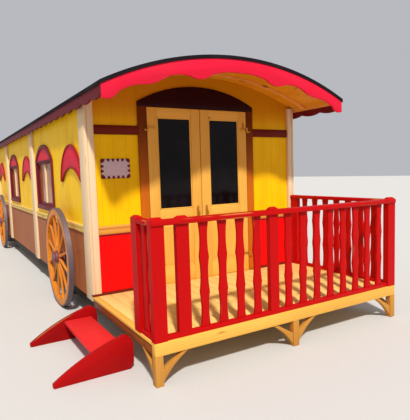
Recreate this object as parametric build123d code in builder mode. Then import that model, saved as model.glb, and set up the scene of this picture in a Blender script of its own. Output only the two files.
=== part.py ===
"""Park vardo wagon: bow-roofed wooden living wagon with a railed front porch.

Millimetres. +X is the wagon's right side seen from the porch, +Y runs to its rear, +Z is up.
The origin is on the ground, at the middle of the whole footprint.
"""

import os
from math import sqrt

from build123d import *

os.makedirs("parts", exist_ok=True)

# Cabin, measured over the corner posts
CABIN_WIDTH = 2750
CABIN_LENGTH = 7700
FLOOR_TOP = 335
FLOOR_THICKNESS = 50
WALL_THICKNESS = 70
POST_PROUD = 40
POST_FRONT_WIDTH = 95
POST_SIDE_WIDTH = 220
REAR_BAY = 1680
BELT_BOTTOM = 960
BELT_HEIGHT = 90
BELT_PROUD = 25
LOWER_PANEL_PROUD = 12
BAND_BOTTOM = 1990
BAND_HEIGHT = 95

# Bow roof, all arcs on one centre under the wagon's middle line
ROOF_TOP = 2700
ROOF_SIDE_OVERHANG = 65
ROOF_EDGE_DROP = 331
COVER_THICKNESS = 8
COVER_LIP = 32
ROOF_BOARD_THICKNESS = 30
FRONT_OVERHANG = 770
REAR_OVERHANG = 300
BARGE_THICKNESS = 25
FASCIA_THICKNESS = 25
FASCIA_DEPTH = 105
FASCIA_WAVE = 26
FASCIA_SCALLOP = 310

# Doorway and its pair of half-glazed doors
DOORWAY_WIDTH = 1318
DOORWAY_OFFSET = 35
DOORWAY_TOP = 2293
CASING_WIDTH = 98
CASING_PROUD = 25
TYMPANUM_SHOULDER = 50
TYMPANUM_RISE = 245
DOOR_THICKNESS = 45
DOOR_GAP = 6
DOOR_MEETING_GAP = 8
DOOR_STILE = 116
DOOR_TOP_RAIL = 104
DOOR_GLASS_BOTTOM = 1172
DOOR_LOCK_RAIL = 150
DOOR_BOTTOM_RAIL = 170
DOOR_PANEL_THICKNESS = 22
DOOR_FIELD_MARGIN = 30
DOOR_FIELD_RISE = 8
DOOR_GLASS_THICKNESS = 8
HINGE_FROM_END = 220
HINGE_EYE = 20
HINGE_EYE_HEIGHT = 44
HINGE_PIN_RADIUS = 6
HINGE_CLEARANCE = 0.05
HINGE_SWING_GAP = 6
HINGE_LUG = 14
HINGE_LUG_REACH = 40
HINGE_LUG_GAP = 0.5
HINGE_STRAP = 100
HINGE_STRAP_THICKNESS = 8

# Arched side and rear windows
WINDOW_WIDTH = 1000
WINDOW_SILL = 1160
WINDOW_SPRING = 1800
WINDOW_RISE = 170
WINDOW_CASING = 60
WINDOW_CASING_PROUD = 26
WINDOW_HEAD_THICKNESS = 12
CASING_LAP = 12
SASH_WIDTH = 45
SASH_DEPTH = 50
WINDOW_BAR = 36
WINDOW_GLASS_THICKNESS = 8
WINDOW_TO_POST = 800

# Crescent ornaments on the side walls
CRESCENT_WIDTH = 930
CRESCENT_TIP = 1515
CRESCENT_TOP = 1930
CRESCENT_INNER_TOP = 1672
CRESCENT_TIP_WIDTH = 50
CRESCENT_THICKNESS = 22
CRESCENT_FROM_POST = 600

# Blank sign plate beside the door
SIGN_WIDTH = 318
SIGN_HEIGHT = 208
SIGN_FROM_POST = 65
SIGN_Z = 1640
SIGN_THICKNESS = 12
SIGN_CORNER = 22

# Porch deck
DECK_DEPTH = 1511
DECK_BOARD_WIDTH = 118
DECK_BOARD_GAP = 6
DECK_BOARD_THICKNESS = 27
DECK_EDGE_HEIGHT = 102
DECK_JOIST_WIDTH = 60
DECK_JOISTS = 4
DECK_LEDGER = 30
LEG_SIZE = 64
BRACE_REACH = 235
BRACE_FOOT = 20
BRACE_WIDTH = 52
BRACE_THICKNESS = 42

# Railing of flat wave-sawn balusters
RAIL_HEIGHT = 905
HANDRAIL_HEIGHT = 42
HANDRAIL_WIDTH = 90
BOTTOM_RAIL_HEIGHT = 37
BOTTOM_RAIL_WIDTH = 45
POST_WIDTH = 108
POST_THICKNESS = 62
POST_CAP_RISE = 19
MIDDLE_POST_WIDTH = 93
MIDDLE_POST_RISE = 25
INNER_POST_INSET = 8
BALUSTER_THICKNESS = 24
BALUSTER_WIDE = 84
BALUSTER_NARROW = 61
BALUSTER_SCOOPS = 3
SCOOP_CUTS = 4
BALUSTER_PITCH = 172
SECOND_POST_SPACE = 211
FIRST_BALUSTER_SPACE = 189
MIDDLE_POST_PLACE = 4
LEFT_RETURN = 381

# Side steps
STEP_GAP = 5
STRINGER_LENGTH = 640
STRINGER_HEIGHT = 292
STRINGER_THICKNESS = 40
STRINGER_TIP = 34
STRINGER_SHOULDER = 70
STEP_WIDTH = 1000
STEP_REAR = 90
TREAD_TOP = 190
TREAD_THICKNESS = 34
TREAD_DEPTH = 262
TREAD_FROM_DECK = 62

# Running gear
CHASSIS_HEIGHT = 100
RAIL_WIDTH = 60
OUTER_RAIL_INSET = 6
INNER_RAIL_X = 450
CROSS_MEMBERS = 7
AXLE_SIZE = 70
ARM_THICKNESS = 25
ARM_WIDTH = 110
ARM_CLEARANCE = 5
SPINDLE_RADIUS = 25
SPINDLE_CLEARANCE = 0.05
WHEEL_RADIUS = 600
WHEEL_INSET = 1100
RIM_WIDTH = 60
RIM_DEPTH = 90
SPOKES = 12
SPOKE_FOOT = 42
SPOKE_WAIST = 34
SPOKE_TONGUE = 40
SPOKE_THICKNESS = 38
SPOKE_TENON = 12
HUB_RADIUS = 90
HUB_LENGTH = 132
HUB_BARREL = 106
HUB_GAP = 8
CAP_LENGTH = 16
CAP_RADIUS = 56
DRAWBAR_REACH = 1150
DRAWBAR_SPREAD = 560
DRAWBAR_TUBE = 80
EYE_RADIUS = 60
EYE_BORE_RADIUS = 25
EYE_THICKNESS = 40

# Sizes that follow from the ones above
ROOF_HALF_WIDTH = CABIN_WIDTH / 2 + ROOF_SIDE_OVERHANG
ROOF_RADIUS = (ROOF_HALF_WIDTH**2 + ROOF_EDGE_DROP**2) / (2 * ROOF_EDGE_DROP)
ROOF_CENTRE_Z = ROOF_TOP - ROOF_RADIUS
ROOF_UNDERSIDE = COVER_THICKNESS + ROOF_BOARD_THICKNESS
PANEL_X = CABIN_WIDTH / 2 - POST_PROUD
INNER_X = PANEL_X - WALL_THICKNESS
BODY_BOTTOM = FLOOR_TOP - FLOOR_THICKNESS
CHASSIS_BOTTOM = BODY_BOTTOM - CHASSIS_HEIGHT
BELT_TOP = BELT_BOTTOM + BELT_HEIGHT
ARM_INNER_X = PANEL_X + LOWER_PANEL_PROUD + ARM_CLEARANCE
ARM_OUTER_X = ARM_INNER_X + ARM_THICKNESS
HUB_INNER_X = ARM_OUTER_X + HUB_GAP
HUB_OUTER_X = HUB_INNER_X + HUB_LENGTH
WHEEL_MID_X = HUB_INNER_X + HUB_LENGTH / 2

# Reach from the wagon's middle line and front wall to the outermost pieces
LEFT_REACH = CABIN_WIDTH / 2 + STEP_GAP + STRINGER_LENGTH
RIGHT_REACH = HUB_OUTER_X + CAP_LENGTH
FRONT_REACH = DECK_DEPTH + (HANDRAIL_WIDTH - POST_THICKNESS) / 2
REAR_REACH = CABIN_LENGTH + DRAWBAR_REACH + EYE_RADIUS
X_MID = (LEFT_REACH - RIGHT_REACH) / 2
DOORWAY_X = X_MID - DOORWAY_OFFSET
Y_FRONT = (FRONT_REACH - REAR_REACH) / 2
Y_REAR = Y_FRONT + CABIN_LENGTH
Y_PANEL = Y_FRONT + POST_PROUD
Y_PANEL_REAR = Y_REAR - POST_PROUD
Y_DECK = Y_FRONT - DECK_DEPTH
Y_ROOF_FRONT = Y_FRONT - FRONT_OVERHANG
Y_ROOF_REAR = Y_REAR + REAR_OVERHANG

# Middle of each side post, from the front wall, and where each bay keeps its ornament and window
POST_PITCH = (CABIN_LENGTH - POST_SIDE_WIDTH - REAR_BAY) / 2
POST_PLACES = (
    POST_SIDE_WIDTH / 2 + POST_PITCH,
    POST_SIDE_WIDTH / 2 + 2 * POST_PITCH,
)
FRONT_POST = POST_SIDE_WIDTH / 2
REAR_POST = CABIN_LENGTH - POST_SIDE_WIDTH / 2
WINDOW_PLACES = (POST_PLACES[0] - WINDOW_TO_POST, POST_PLACES[1] - WINDOW_TO_POST)
CRESCENT_PLACES = (
    FRONT_POST + CRESCENT_FROM_POST,
    POST_PLACES[0] + CRESCENT_FROM_POST,
    REAR_POST - CRESCENT_FROM_POST,
)
WHEEL_PLACES = (Y_FRONT + WHEEL_INSET, Y_REAR - WHEEL_INSET)

# Lower edge of a bargeboard, from the middle out: each arc's mid point and end point,
# as share of the board's half width and depth below the roof's top
BARGE_MIDDLE_DEPTH = 160
BARGE_END_DEPTH = 150
BARGE_ARCS = (
    (0.133, 163, 0.230, 185),
    (0.314, 222, 0.398, 185),
    (0.489, 156, 0.587, 166),
    (0.670, 186, 0.747, 166),
    (0.824, 152, 0.901, 166),
    (0.950, 188, 1.000, BARGE_END_DEPTH),
)


def block(x, y, z, mode=Mode.ADD):
    """A squared piece between its low and high limits."""
    with Locations(((x[0] + x[1]) / 2, (y[0] + y[1]) / 2, (z[0] + z[1]) / 2)):
        Box(x[1] - x[0], y[1] - y[0], z[1] - z[0], mode=mode)


def across(y):
    """Plane across the wagon at y. It faces the porch, so a positive extrude runs forward."""
    return Plane.XZ.offset(-y)


def roof_line(x, depth):
    """Height of the roof's arc, taken depth below its top, at x from the middle line."""
    return ROOF_CENTRE_Z + sqrt((ROOF_RADIUS - depth) ** 2 - x**2)


def under_roof(half_width, bottom, depth):
    """Face across the wagon that ends in the roof's arc."""
    top = roof_line(half_width, depth)
    left = X_MID - half_width
    right = X_MID + half_width
    with BuildLine() as outline:
        Polyline((left, top), (left, bottom), (right, bottom), (right, top))
        ThreePointArc((right, top), (X_MID, roof_line(0, depth)), (left, top))
    make_face(outline.edges())


def roof_strip(half_width, top_depth, bottom_depth):
    """Face between two arcs of the roof, cut upright at its sides."""
    left = X_MID - half_width
    right = X_MID + half_width
    high = roof_line(half_width, top_depth)
    low = roof_line(half_width, bottom_depth)
    with BuildLine() as outline:
        ThreePointArc((left, high), (X_MID, roof_line(0, top_depth)), (right, high))
        Line((right, high), (right, low))
        ThreePointArc((right, low), (X_MID, roof_line(0, bottom_depth)), (left, low))
        Line((left, low), (left, high))
    make_face(outline.edges())


def side_strip(inner, outer, bottom, depth):
    """Upright face across one side of the wagon, from bottom to the roof."""
    with BuildLine() as outline:
        Polyline(
            (X_MID - outer, bottom),
            (X_MID - inner, bottom),
            (X_MID - inner, roof_line(inner, depth)),
            (X_MID - outer, roof_line(outer, depth)),
            close=True,
        )
    make_face(outline.edges())


def arched(middle, width, sill, spring, rise):
    """Opening with upright sides and a shallow arch."""
    low = middle - width / 2
    high = middle + width / 2
    with BuildLine() as outline:
        Polyline((low, spring), (low, sill), (high, sill), (high, spring))
        ThreePointArc((high, spring), (middle, spring + rise), (low, spring))
    make_face(outline.edges())


def window_opening(middle):
    """The hole in the wall, filled by the sash."""
    with Locations((middle, (WINDOW_SILL + WINDOW_SPRING) / 2)):
        Rectangle(WINDOW_WIDTH, WINDOW_SPRING - WINDOW_SILL)


def window_casing(middle):
    """Outline of the casing round the opening and the arched head over it."""
    arched(
        middle,
        WINDOW_WIDTH + 2 * WINDOW_CASING,
        WINDOW_SILL - WINDOW_CASING,
        WINDOW_SPRING,
        WINDOW_RISE + WINDOW_CASING,
    )


def window_head(middle):
    """The sunk field of the arched head, over a crossbar that laps the sash."""
    low = middle - WINDOW_WIDTH / 2 + CASING_LAP
    high = middle + WINDOW_WIDTH / 2 - CASING_LAP
    field = WINDOW_SPRING + CASING_LAP
    with BuildLine() as outline:
        Line((low, field), (high, field))
        ThreePointArc((high, field), (middle, WINDOW_SPRING + WINDOW_RISE), (low, field))
    make_face(outline.edges())


def window_rebate(middle):
    """The part of the opening that the casing leaves clear."""
    with Locations((middle, (WINDOW_SILL + WINDOW_SPRING) / 2)):
        Rectangle(WINDOW_WIDTH - 2 * CASING_LAP, WINDOW_SPRING - WINDOW_SILL - 2 * CASING_LAP)


def window_lights(middle):
    """The two glazed lights, either side of the upright bar."""
    light_width = (WINDOW_WIDTH - 2 * SASH_WIDTH - WINDOW_BAR) / 2
    with Locations((middle, (WINDOW_SILL + WINDOW_SPRING) / 2)):
        with GridLocations(light_width + WINDOW_BAR, 0, 2, 1):
            Rectangle(light_width, WINDOW_SPRING - WINDOW_SILL - 2 * SASH_WIDTH)


def scooped(low, high, count, depth):
    """Run and cut depth along a sawn edge: count scoops, each sawn in a few straight cuts."""
    edge = []
    for index in range(count * SCOOP_CUTS + 1):
        share = index % SCOOP_CUTS / SCOOP_CUTS
        edge.append((low + (high - low) * index / (count * SCOOP_CUTS), 4 * depth * share * (1 - share)))
    return edge


def save(piece):
    export_step(piece, f"parts/{piece.label}.step")


# Chassis: a welded grid of steel tube under the floor
with BuildPart() as chassis_frame:
    chassis_z = (CHASSIS_BOTTOM, BODY_BOTTOM)
    outer_rail = PANEL_X - OUTER_RAIL_INSET
    chassis_y = (Y_PANEL, Y_PANEL_REAR)
    for rail_x in (-outer_rail + RAIL_WIDTH / 2, -INNER_RAIL_X, INNER_RAIL_X, outer_rail - RAIL_WIDTH / 2):
        rail_mid = X_MID + rail_x
        block((rail_mid - RAIL_WIDTH / 2, rail_mid + RAIL_WIDTH / 2), chassis_y, chassis_z)
    member_pitch = (chassis_y[1] - chassis_y[0] - RAIL_WIDTH) / (CROSS_MEMBERS - 1)
    for index in range(CROSS_MEMBERS):
        member_y = chassis_y[0] + index * member_pitch
        block(
            (X_MID - outer_rail, X_MID + outer_rail),
            (member_y, member_y + RAIL_WIDTH),
            chassis_z,
        )
chassis_frame.part.label = "chassis_frame"
save(chassis_frame.part)

# Drawbar: two tubes meeting at the towing eye behind the cabin
with BuildPart() as drawbar:
    drawbar_root = Y_PANEL_REAR
    eye_y = Y_REAR + DRAWBAR_REACH
    drawbar_z = (CHASSIS_BOTTOM + (CHASSIS_HEIGHT - DRAWBAR_TUBE) / 2)
    with BuildSketch(Plane.XY.offset(drawbar_z)):
        with BuildLine():
            Polyline(
                (X_MID - DRAWBAR_SPREAD, drawbar_root),
                (X_MID - DRAWBAR_SPREAD + DRAWBAR_TUBE, drawbar_root),
                (X_MID, eye_y - EYE_RADIUS - DRAWBAR_TUBE),
                (X_MID + DRAWBAR_SPREAD - DRAWBAR_TUBE, drawbar_root),
                (X_MID + DRAWBAR_SPREAD, drawbar_root),
                (X_MID + EYE_THICKNESS, eye_y - EYE_RADIUS / 2),
                (X_MID - EYE_THICKNESS, eye_y - EYE_RADIUS / 2),
                close=True,
            )
        make_face()
    extrude(amount=DRAWBAR_TUBE)
    eye_low = drawbar_z + (DRAWBAR_TUBE - EYE_THICKNESS) / 2
    with BuildSketch(Plane.XY.offset(eye_low)):
        with Locations((X_MID, eye_y)):
            Circle(EYE_RADIUS)
    extrude(amount=EYE_THICKNESS)
    with Locations((X_MID, eye_y, drawbar_z + DRAWBAR_TUBE / 2)):
        Cylinder(EYE_BORE_RADIUS, DRAWBAR_TUBE, mode=Mode.SUBTRACT)
    with BuildSketch(Plane.XY.offset(drawbar_z)):
        with Locations((X_MID, eye_y)):
            Circle(EYE_RADIUS)
    extrude(amount=eye_low - drawbar_z, mode=Mode.SUBTRACT)
    with BuildSketch(Plane.XY.offset(eye_low + EYE_THICKNESS)):
        with Locations((X_MID, eye_y)):
            Circle(EYE_RADIUS)
    extrude(amount=drawbar_z + DRAWBAR_TUBE - eye_low - EYE_THICKNESS, mode=Mode.SUBTRACT)
drawbar.part.label = "drawbar"
save(drawbar.part)

# Cranked axles: a beam under the chassis, an upright arm outside each wall, a spindle on each arm
for axle_name, axle_y in (("front", WHEEL_PLACES[0]), ("rear", WHEEL_PLACES[1])):
    with BuildPart() as axle:
        beam_z = (CHASSIS_BOTTOM - AXLE_SIZE, CHASSIS_BOTTOM)
        block(
            (X_MID - ARM_OUTER_X, X_MID + ARM_OUTER_X),
            (axle_y - AXLE_SIZE / 2, axle_y + AXLE_SIZE / 2),
            beam_z,
        )
        for side in (-1, 1):
            arm_face = X_MID + side * (ARM_INNER_X + ARM_THICKNESS / 2)
            with BuildSketch(Plane.YZ.offset(arm_face - ARM_THICKNESS / 2)):
                arm_top = WHEEL_RADIUS + ARM_WIDTH / 2
                with Locations((axle_y, (beam_z[0] + arm_top) / 2)):
                    arm = Rectangle(ARM_WIDTH, arm_top - beam_z[0])
                chamfer(arm.vertices().sort_by(Axis.Y)[-2:], ARM_WIDTH / 4)
            extrude(amount=ARM_THICKNESS)
            spindle_length = HUB_OUTER_X - ARM_OUTER_X
            spindle_x = X_MID + side * (ARM_OUTER_X + spindle_length / 2)
            with Locations(Location((spindle_x, axle_y, WHEEL_RADIUS), (0, 90, 0))):
                Cylinder(SPINDLE_RADIUS, spindle_length)
    axle.part.label = f"axle_{axle_name}"
    save(axle.part)

# Wooden wheels: turned hub, tapered spokes, and a rim of felloes and shrunk-on tyre as one ring
rim_inner = WHEEL_RADIUS - RIM_DEPTH
with BuildPart() as spoke:
    spoke_stations = (
        (HUB_RADIUS - SPOKE_TENON, SPOKE_FOOT),
        (2 * HUB_RADIUS, SPOKE_WAIST),
        (rim_inner + SPOKE_TENON, SPOKE_TONGUE),
    )
    for station, width in spoke_stations:
        with BuildSketch(Plane.XY.offset(station)):
            Rectangle(SPOKE_THICKNESS, width)
    loft(ruled=True)

for wheel_name, side, wheel_y in (
    ("front_left", -1, WHEEL_PLACES[0]),
    ("front_right", 1, WHEEL_PLACES[0]),
    ("rear_left", -1, WHEEL_PLACES[1]),
    ("rear_right", 1, WHEEL_PLACES[1]),
):
    hub = Plane(
        origin=(X_MID + side * WHEEL_MID_X, wheel_y, WHEEL_RADIUS),
        x_dir=(0, 0, 1),
        z_dir=(side, 0, 0),
    )
    with BuildPart() as wheel:
        with BuildSketch(hub.offset(-RIM_WIDTH / 2)):
            Circle(WHEEL_RADIUS)
            RegularPolygon(
                rim_inner,
                2 * SPOKES,
                major_radius=False,
                rotation=90 / SPOKES,
                mode=Mode.SUBTRACT,
            )
        extrude(amount=RIM_WIDTH)
        with BuildSketch(Plane(hub.origin, x_dir=hub.z_dir, z_dir=(0, 1, 0))):
            with BuildLine():
                hub_half = HUB_LENGTH / 2
                Polyline(
                    (-hub_half, 0),
                    (-hub_half, HUB_RADIUS),
                    (HUB_BARREL - hub_half, HUB_RADIUS),
                    (HUB_BARREL - hub_half, CAP_RADIUS),
                    (hub_half + CAP_LENGTH, CAP_RADIUS),
                    (hub_half + CAP_LENGTH, 0),
                    close=True,
                )
            make_face()
        revolve(axis=Axis(hub.origin, hub.z_dir))
        for index in range(SPOKES):
            turn = 360 / SPOKES * (index + 0.5)
            add(spoke.part.moved(Location((0, 0, 0), (turn, 0, 0))).moved(Location(hub.origin)))
        with Locations(Location(hub.offset(-HUB_GAP / 2))):
            Cylinder(SPINDLE_RADIUS + SPINDLE_CLEARANCE, HUB_LENGTH + HUB_GAP, mode=Mode.SUBTRACT)
    wheel.part.label = f"wheel_{wheel_name}"
    save(wheel.part)

# Cabin floor between the walls
with BuildPart() as cabin_floor:
    block(
        (X_MID - INNER_X, X_MID + INNER_X),
        (Y_PANEL + WALL_THICKNESS, Y_PANEL_REAR - WALL_THICKNESS),
        (BODY_BOTTOM, FLOOR_TOP),
    )
cabin_floor.part.label = "cabin_floor"
save(cabin_floor.part)

# Front wall with its doorway
with BuildPart() as wall_front:
    with BuildSketch(across(Y_PANEL + WALL_THICKNESS)):
        under_roof(PANEL_X, BODY_BOTTOM, ROOF_UNDERSIDE)
        with Locations((DOORWAY_X, (FLOOR_TOP + DOORWAY_TOP) / 2)):
            Rectangle(DOORWAY_WIDTH, DOORWAY_TOP - FLOOR_TOP, mode=Mode.SUBTRACT)
    extrude(amount=WALL_THICKNESS)
wall_front.part.label = "wall_front"
save(wall_front.part)

# Rear wall with one window
with BuildPart() as wall_rear:
    with BuildSketch(across(Y_PANEL_REAR)):
        under_roof(PANEL_X, BODY_BOTTOM, ROOF_UNDERSIDE)
    extrude(amount=WALL_THICKNESS)
    with BuildSketch(across(Y_PANEL_REAR)):
        window_opening(X_MID)
    extrude(amount=WALL_THICKNESS, mode=Mode.SUBTRACT)
wall_rear.part.label = "wall_rear"
save(wall_rear.part)

# Side walls with arched windows
with BuildPart() as wall_left:
    with BuildSketch(across(Y_PANEL_REAR - WALL_THICKNESS)):
        side_strip(INNER_X, PANEL_X, BODY_BOTTOM, ROOF_UNDERSIDE)
    extrude(amount=CABIN_LENGTH - 2 * (POST_PROUD + WALL_THICKNESS))
    with BuildSketch(Plane.YZ.offset(X_MID - PANEL_X)):
        for place in WINDOW_PLACES:
            window_opening(Y_FRONT + place)
    extrude(amount=WALL_THICKNESS, mode=Mode.SUBTRACT)
wall_left.part.label = "wall_left"
save(wall_left.part)

with BuildPart() as wall_right:
    mirror(wall_left.part, about=Plane.YZ.offset(X_MID))
wall_right.part.label = "wall_right"
save(wall_right.part)

# Corner posts, cased round the corner, and the side posts between them
with BuildPart() as cabin_posts:
    post_bottom = BODY_BOTTOM
    with BuildSketch(across(Y_REAR)):
        side_strip(PANEL_X, CABIN_WIDTH / 2, post_bottom, ROOF_UNDERSIDE)
    extrude(amount=POST_SIDE_WIDTH)
    with BuildSketch(across(Y_FRONT + POST_SIDE_WIDTH)):
        side_strip(PANEL_X, CABIN_WIDTH / 2, post_bottom, ROOF_UNDERSIDE)
    extrude(amount=POST_SIDE_WIDTH)
    front_inner = CABIN_WIDTH / 2 - POST_FRONT_WIDTH
    with BuildSketch(across(Y_PANEL)):
        side_strip(front_inner, PANEL_X, post_bottom, ROOF_UNDERSIDE)
    extrude(amount=POST_PROUD)
    with BuildSketch(across(Y_REAR)):
        side_strip(front_inner, PANEL_X, post_bottom, ROOF_UNDERSIDE)
    extrude(amount=POST_PROUD)
    for place in POST_PLACES:
        with BuildSketch(across(Y_FRONT + place + POST_SIDE_WIDTH / 2)):
            side_strip(PANEL_X, CABIN_WIDTH / 2, post_bottom, ROOF_UNDERSIDE)
        extrude(amount=POST_SIDE_WIDTH)
    mirror(about=Plane.YZ.offset(X_MID))
cabin_posts.part.label = "cabin_posts"
save(cabin_posts.part)

# Bays between the posts, as low and high y
bay_edges = [Y_FRONT + POST_SIDE_WIDTH]
for place in POST_PLACES:
    bay_edges.append(Y_FRONT + place - POST_SIDE_WIDTH / 2)
    bay_edges.append(Y_FRONT + place + POST_SIDE_WIDTH / 2)
bay_edges.append(Y_REAR - POST_SIDE_WIDTH)
BAYS = tuple(zip(bay_edges[0::2], bay_edges[1::2]))

# Front panels either side of the door casing, as low and high x
casing_half = DOORWAY_WIDTH / 2 + CASING_WIDTH
FRONT_PANELS = (
    (X_MID - front_inner, DOORWAY_X - casing_half),
    (DOORWAY_X + casing_half, X_MID + front_inner),
)

# Belt strip round the cabin and red-painted panels under it
with BuildPart() as belt_strips:
    belt_z = (BELT_BOTTOM, BELT_TOP)
    for bay in BAYS:
        block((X_MID - PANEL_X - BELT_PROUD, X_MID - PANEL_X), bay, belt_z)
    mirror(about=Plane.YZ.offset(X_MID))
    for panel in FRONT_PANELS:
        block(panel, (Y_PANEL - BELT_PROUD, Y_PANEL), belt_z)
    block(
        (X_MID - front_inner, X_MID + front_inner),
        (Y_PANEL_REAR, Y_PANEL_REAR + BELT_PROUD),
        belt_z,
    )
belt_strips.part.label = "belt_strips"
save(belt_strips.part)

with BuildPart() as side_lower_panels:
    lower_z = (BODY_BOTTOM, BELT_BOTTOM)
    for bay in BAYS:
        block((X_MID - PANEL_X - LOWER_PANEL_PROUD, X_MID - PANEL_X), bay, lower_z)
    mirror(about=Plane.YZ.offset(X_MID))
    block(
        (X_MID - front_inner, X_MID + front_inner),
        (Y_PANEL_REAR, Y_PANEL_REAR + LOWER_PANEL_PROUD),
        lower_z,
    )
side_lower_panels.part.label = "side_lower_panels"
save(side_lower_panels.part)

with BuildPart() as front_lower_panels:
    for panel in FRONT_PANELS:
        block(panel, (Y_PANEL - LOWER_PANEL_PROUD, Y_PANEL), lower_z)
front_lower_panels.part.label = "front_lower_panels"
save(front_lower_panels.part)

# Brown bands either side of the door head
with BuildPart() as front_bands:
    for panel in FRONT_PANELS:
        block(panel, (Y_PANEL - BELT_PROUD, Y_PANEL), (BAND_BOTTOM, BAND_BOTTOM + BAND_HEIGHT))
front_bands.part.label = "front_bands"
save(front_bands.part)

# Roof boards, a bow from eave to eave
board_half = ROOF_HALF_WIDTH - COVER_THICKNESS - FASCIA_THICKNESS
boards_front = Y_ROOF_FRONT + COVER_THICKNESS + BARGE_THICKNESS
boards_rear = Y_ROOF_REAR - COVER_THICKNESS - BARGE_THICKNESS
with BuildPart() as roof_boards:
    with BuildSketch(across(boards_rear)):
        roof_strip(board_half, COVER_THICKNESS, ROOF_UNDERSIDE)
    extrude(amount=boards_rear - boards_front)
roof_boards.part.label = "roof_boards"
save(roof_boards.part)

# Roof covering, a sheet with its edges turned down
with BuildPart() as roof_cover:
    with BuildSketch(across(Y_ROOF_REAR)):
        roof_strip(ROOF_HALF_WIDTH, 0, COVER_LIP)
    extrude(amount=Y_ROOF_REAR - Y_ROOF_FRONT)
    with BuildSketch(across(Y_ROOF_REAR - COVER_THICKNESS)):
        roof_strip(ROOF_HALF_WIDTH - COVER_THICKNESS, COVER_THICKNESS, COVER_LIP + BARGE_END_DEPTH)
    extrude(amount=Y_ROOF_REAR - Y_ROOF_FRONT - 2 * COVER_THICKNESS, mode=Mode.SUBTRACT)
roof_cover.part.label = "roof_cover"
save(roof_cover.part)


def bargeboard_outline():
    """Board under the roof's edge with a scalloped lower edge."""
    half = ROOF_HALF_WIDTH - COVER_THICKNESS
    high = roof_line(half, COVER_THICKNESS)
    with BuildLine() as outline:
        ThreePointArc(
            (X_MID - half, high),
            (X_MID, roof_line(0, COVER_THICKNESS)),
            (X_MID + half, high),
        )
        for side in (1, -1):
            start = (X_MID, ROOF_TOP - BARGE_MIDDLE_DEPTH)
            for mid_share, mid_depth, end_share, end_depth in BARGE_ARCS:
                mid_x = mid_share * half
                end_x = end_share * half
                middle = (X_MID + side * mid_x, roof_line(mid_x, 0) - mid_depth)
                end = (X_MID + side * end_x, roof_line(end_x, 0) - end_depth)
                ThreePointArc(start, middle, end)
                start = end
            Line(start, (X_MID + side * half, high))
    make_face(outline.edges())


# Scalloped bargeboards on the front and rear of the roof
with BuildPart() as bargeboard_front:
    with BuildSketch(across(boards_front)):
        bargeboard_outline()
    extrude(amount=BARGE_THICKNESS)
bargeboard_front.part.label = "bargeboard_front"
save(bargeboard_front.part)

with BuildPart() as bargeboard_rear:
    with BuildSketch(across(boards_rear + BARGE_THICKNESS)):
        bargeboard_outline()
    extrude(amount=BARGE_THICKNESS)
bargeboard_rear.part.label = "bargeboard_rear"
save(bargeboard_rear.part)

# Scalloped fascias along the eaves
with BuildPart() as eave_fascias:
    fascia_top = roof_line(ROOF_HALF_WIDTH - COVER_THICKNESS, COVER_THICKNESS)
    fascia_low = fascia_top - FASCIA_DEPTH
    scallops = round((boards_rear - boards_front) / FASCIA_SCALLOP)
    with BuildSketch(Plane.YZ.offset(X_MID - board_half - FASCIA_THICKNESS)):
        with BuildLine():
            lower_edge = scooped(boards_front, boards_rear, scallops, FASCIA_WAVE)
            Polyline(
                (boards_rear, fascia_top),
                (boards_front, fascia_top),
                *[(run, fascia_low - drop) for run, drop in lower_edge],
                close=True,
            )
        make_face()
    extrude(amount=FASCIA_THICKNESS)
    mirror(about=Plane.YZ.offset(X_MID))
eave_fascias.part.label = "eave_fascias"
save(eave_fascias.part)

# Brown door casing and the arched panel over the doors
casing_y = Y_PANEL - CASING_PROUD
with BuildPart() as door_casing:
    shoulder = DOORWAY_TOP + TYMPANUM_SHOULDER
    with BuildSketch(across(Y_PANEL)):
        with BuildLine():
            Polyline(
                (DOORWAY_X - casing_half, shoulder),
                (DOORWAY_X - casing_half, FLOOR_TOP),
                (DOORWAY_X + casing_half, FLOOR_TOP),
                (DOORWAY_X + casing_half, shoulder),
            )
            ThreePointArc(
                (DOORWAY_X + casing_half, shoulder),
                (DOORWAY_X, DOORWAY_TOP + TYMPANUM_RISE),
                (DOORWAY_X - casing_half, shoulder),
            )
        make_face()
        with Locations((DOORWAY_X, (FLOOR_TOP + DOORWAY_TOP) / 2)):
            Rectangle(DOORWAY_WIDTH, DOORWAY_TOP - FLOOR_TOP, mode=Mode.SUBTRACT)
    extrude(amount=CASING_PROUD)
door_casing.part.label = "door_casing"
save(door_casing.part)

# Hinge line of each door, in front of the casing's face by half an eye and its swing gap
hinge_x = DOORWAY_WIDTH / 2 - DOOR_GAP / 2
hinge_y = casing_y - HINGE_EYE / 2 - HINGE_SWING_GAP
HINGE_HEIGHTS = (FLOOR_TOP + HINGE_FROM_END, DOORWAY_TOP - HINGE_FROM_END)

# Fixed half of the hinges: an upright pin on a lug that reaches out to the casing
with BuildPart() as door_hinges:
    for side in (-1, 1):
        pin_x = DOORWAY_X + side * hinge_x
        for height in HINGE_HEIGHTS:
            lug_top = height - HINGE_EYE_HEIGHT / 2
            lug_z = (lug_top - HINGE_LUG, lug_top)
            pin_length = HINGE_LUG + HINGE_EYE_HEIGHT + HINGE_LUG_GAP
            with Locations((pin_x, hinge_y, lug_z[0] + pin_length / 2)):
                Cylinder(HINGE_PIN_RADIUS, pin_length)
            half = HINGE_LUG / 2
            block((pin_x - half, pin_x + half), (hinge_y - half, hinge_y + half), lug_z)
            arm = sorted((pin_x + side * half, pin_x + side * HINGE_LUG_REACH))
            block(arm, (hinge_y - half, casing_y), lug_z)
door_hinges.part.label = "door_hinges"
save(door_hinges.part)

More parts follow.
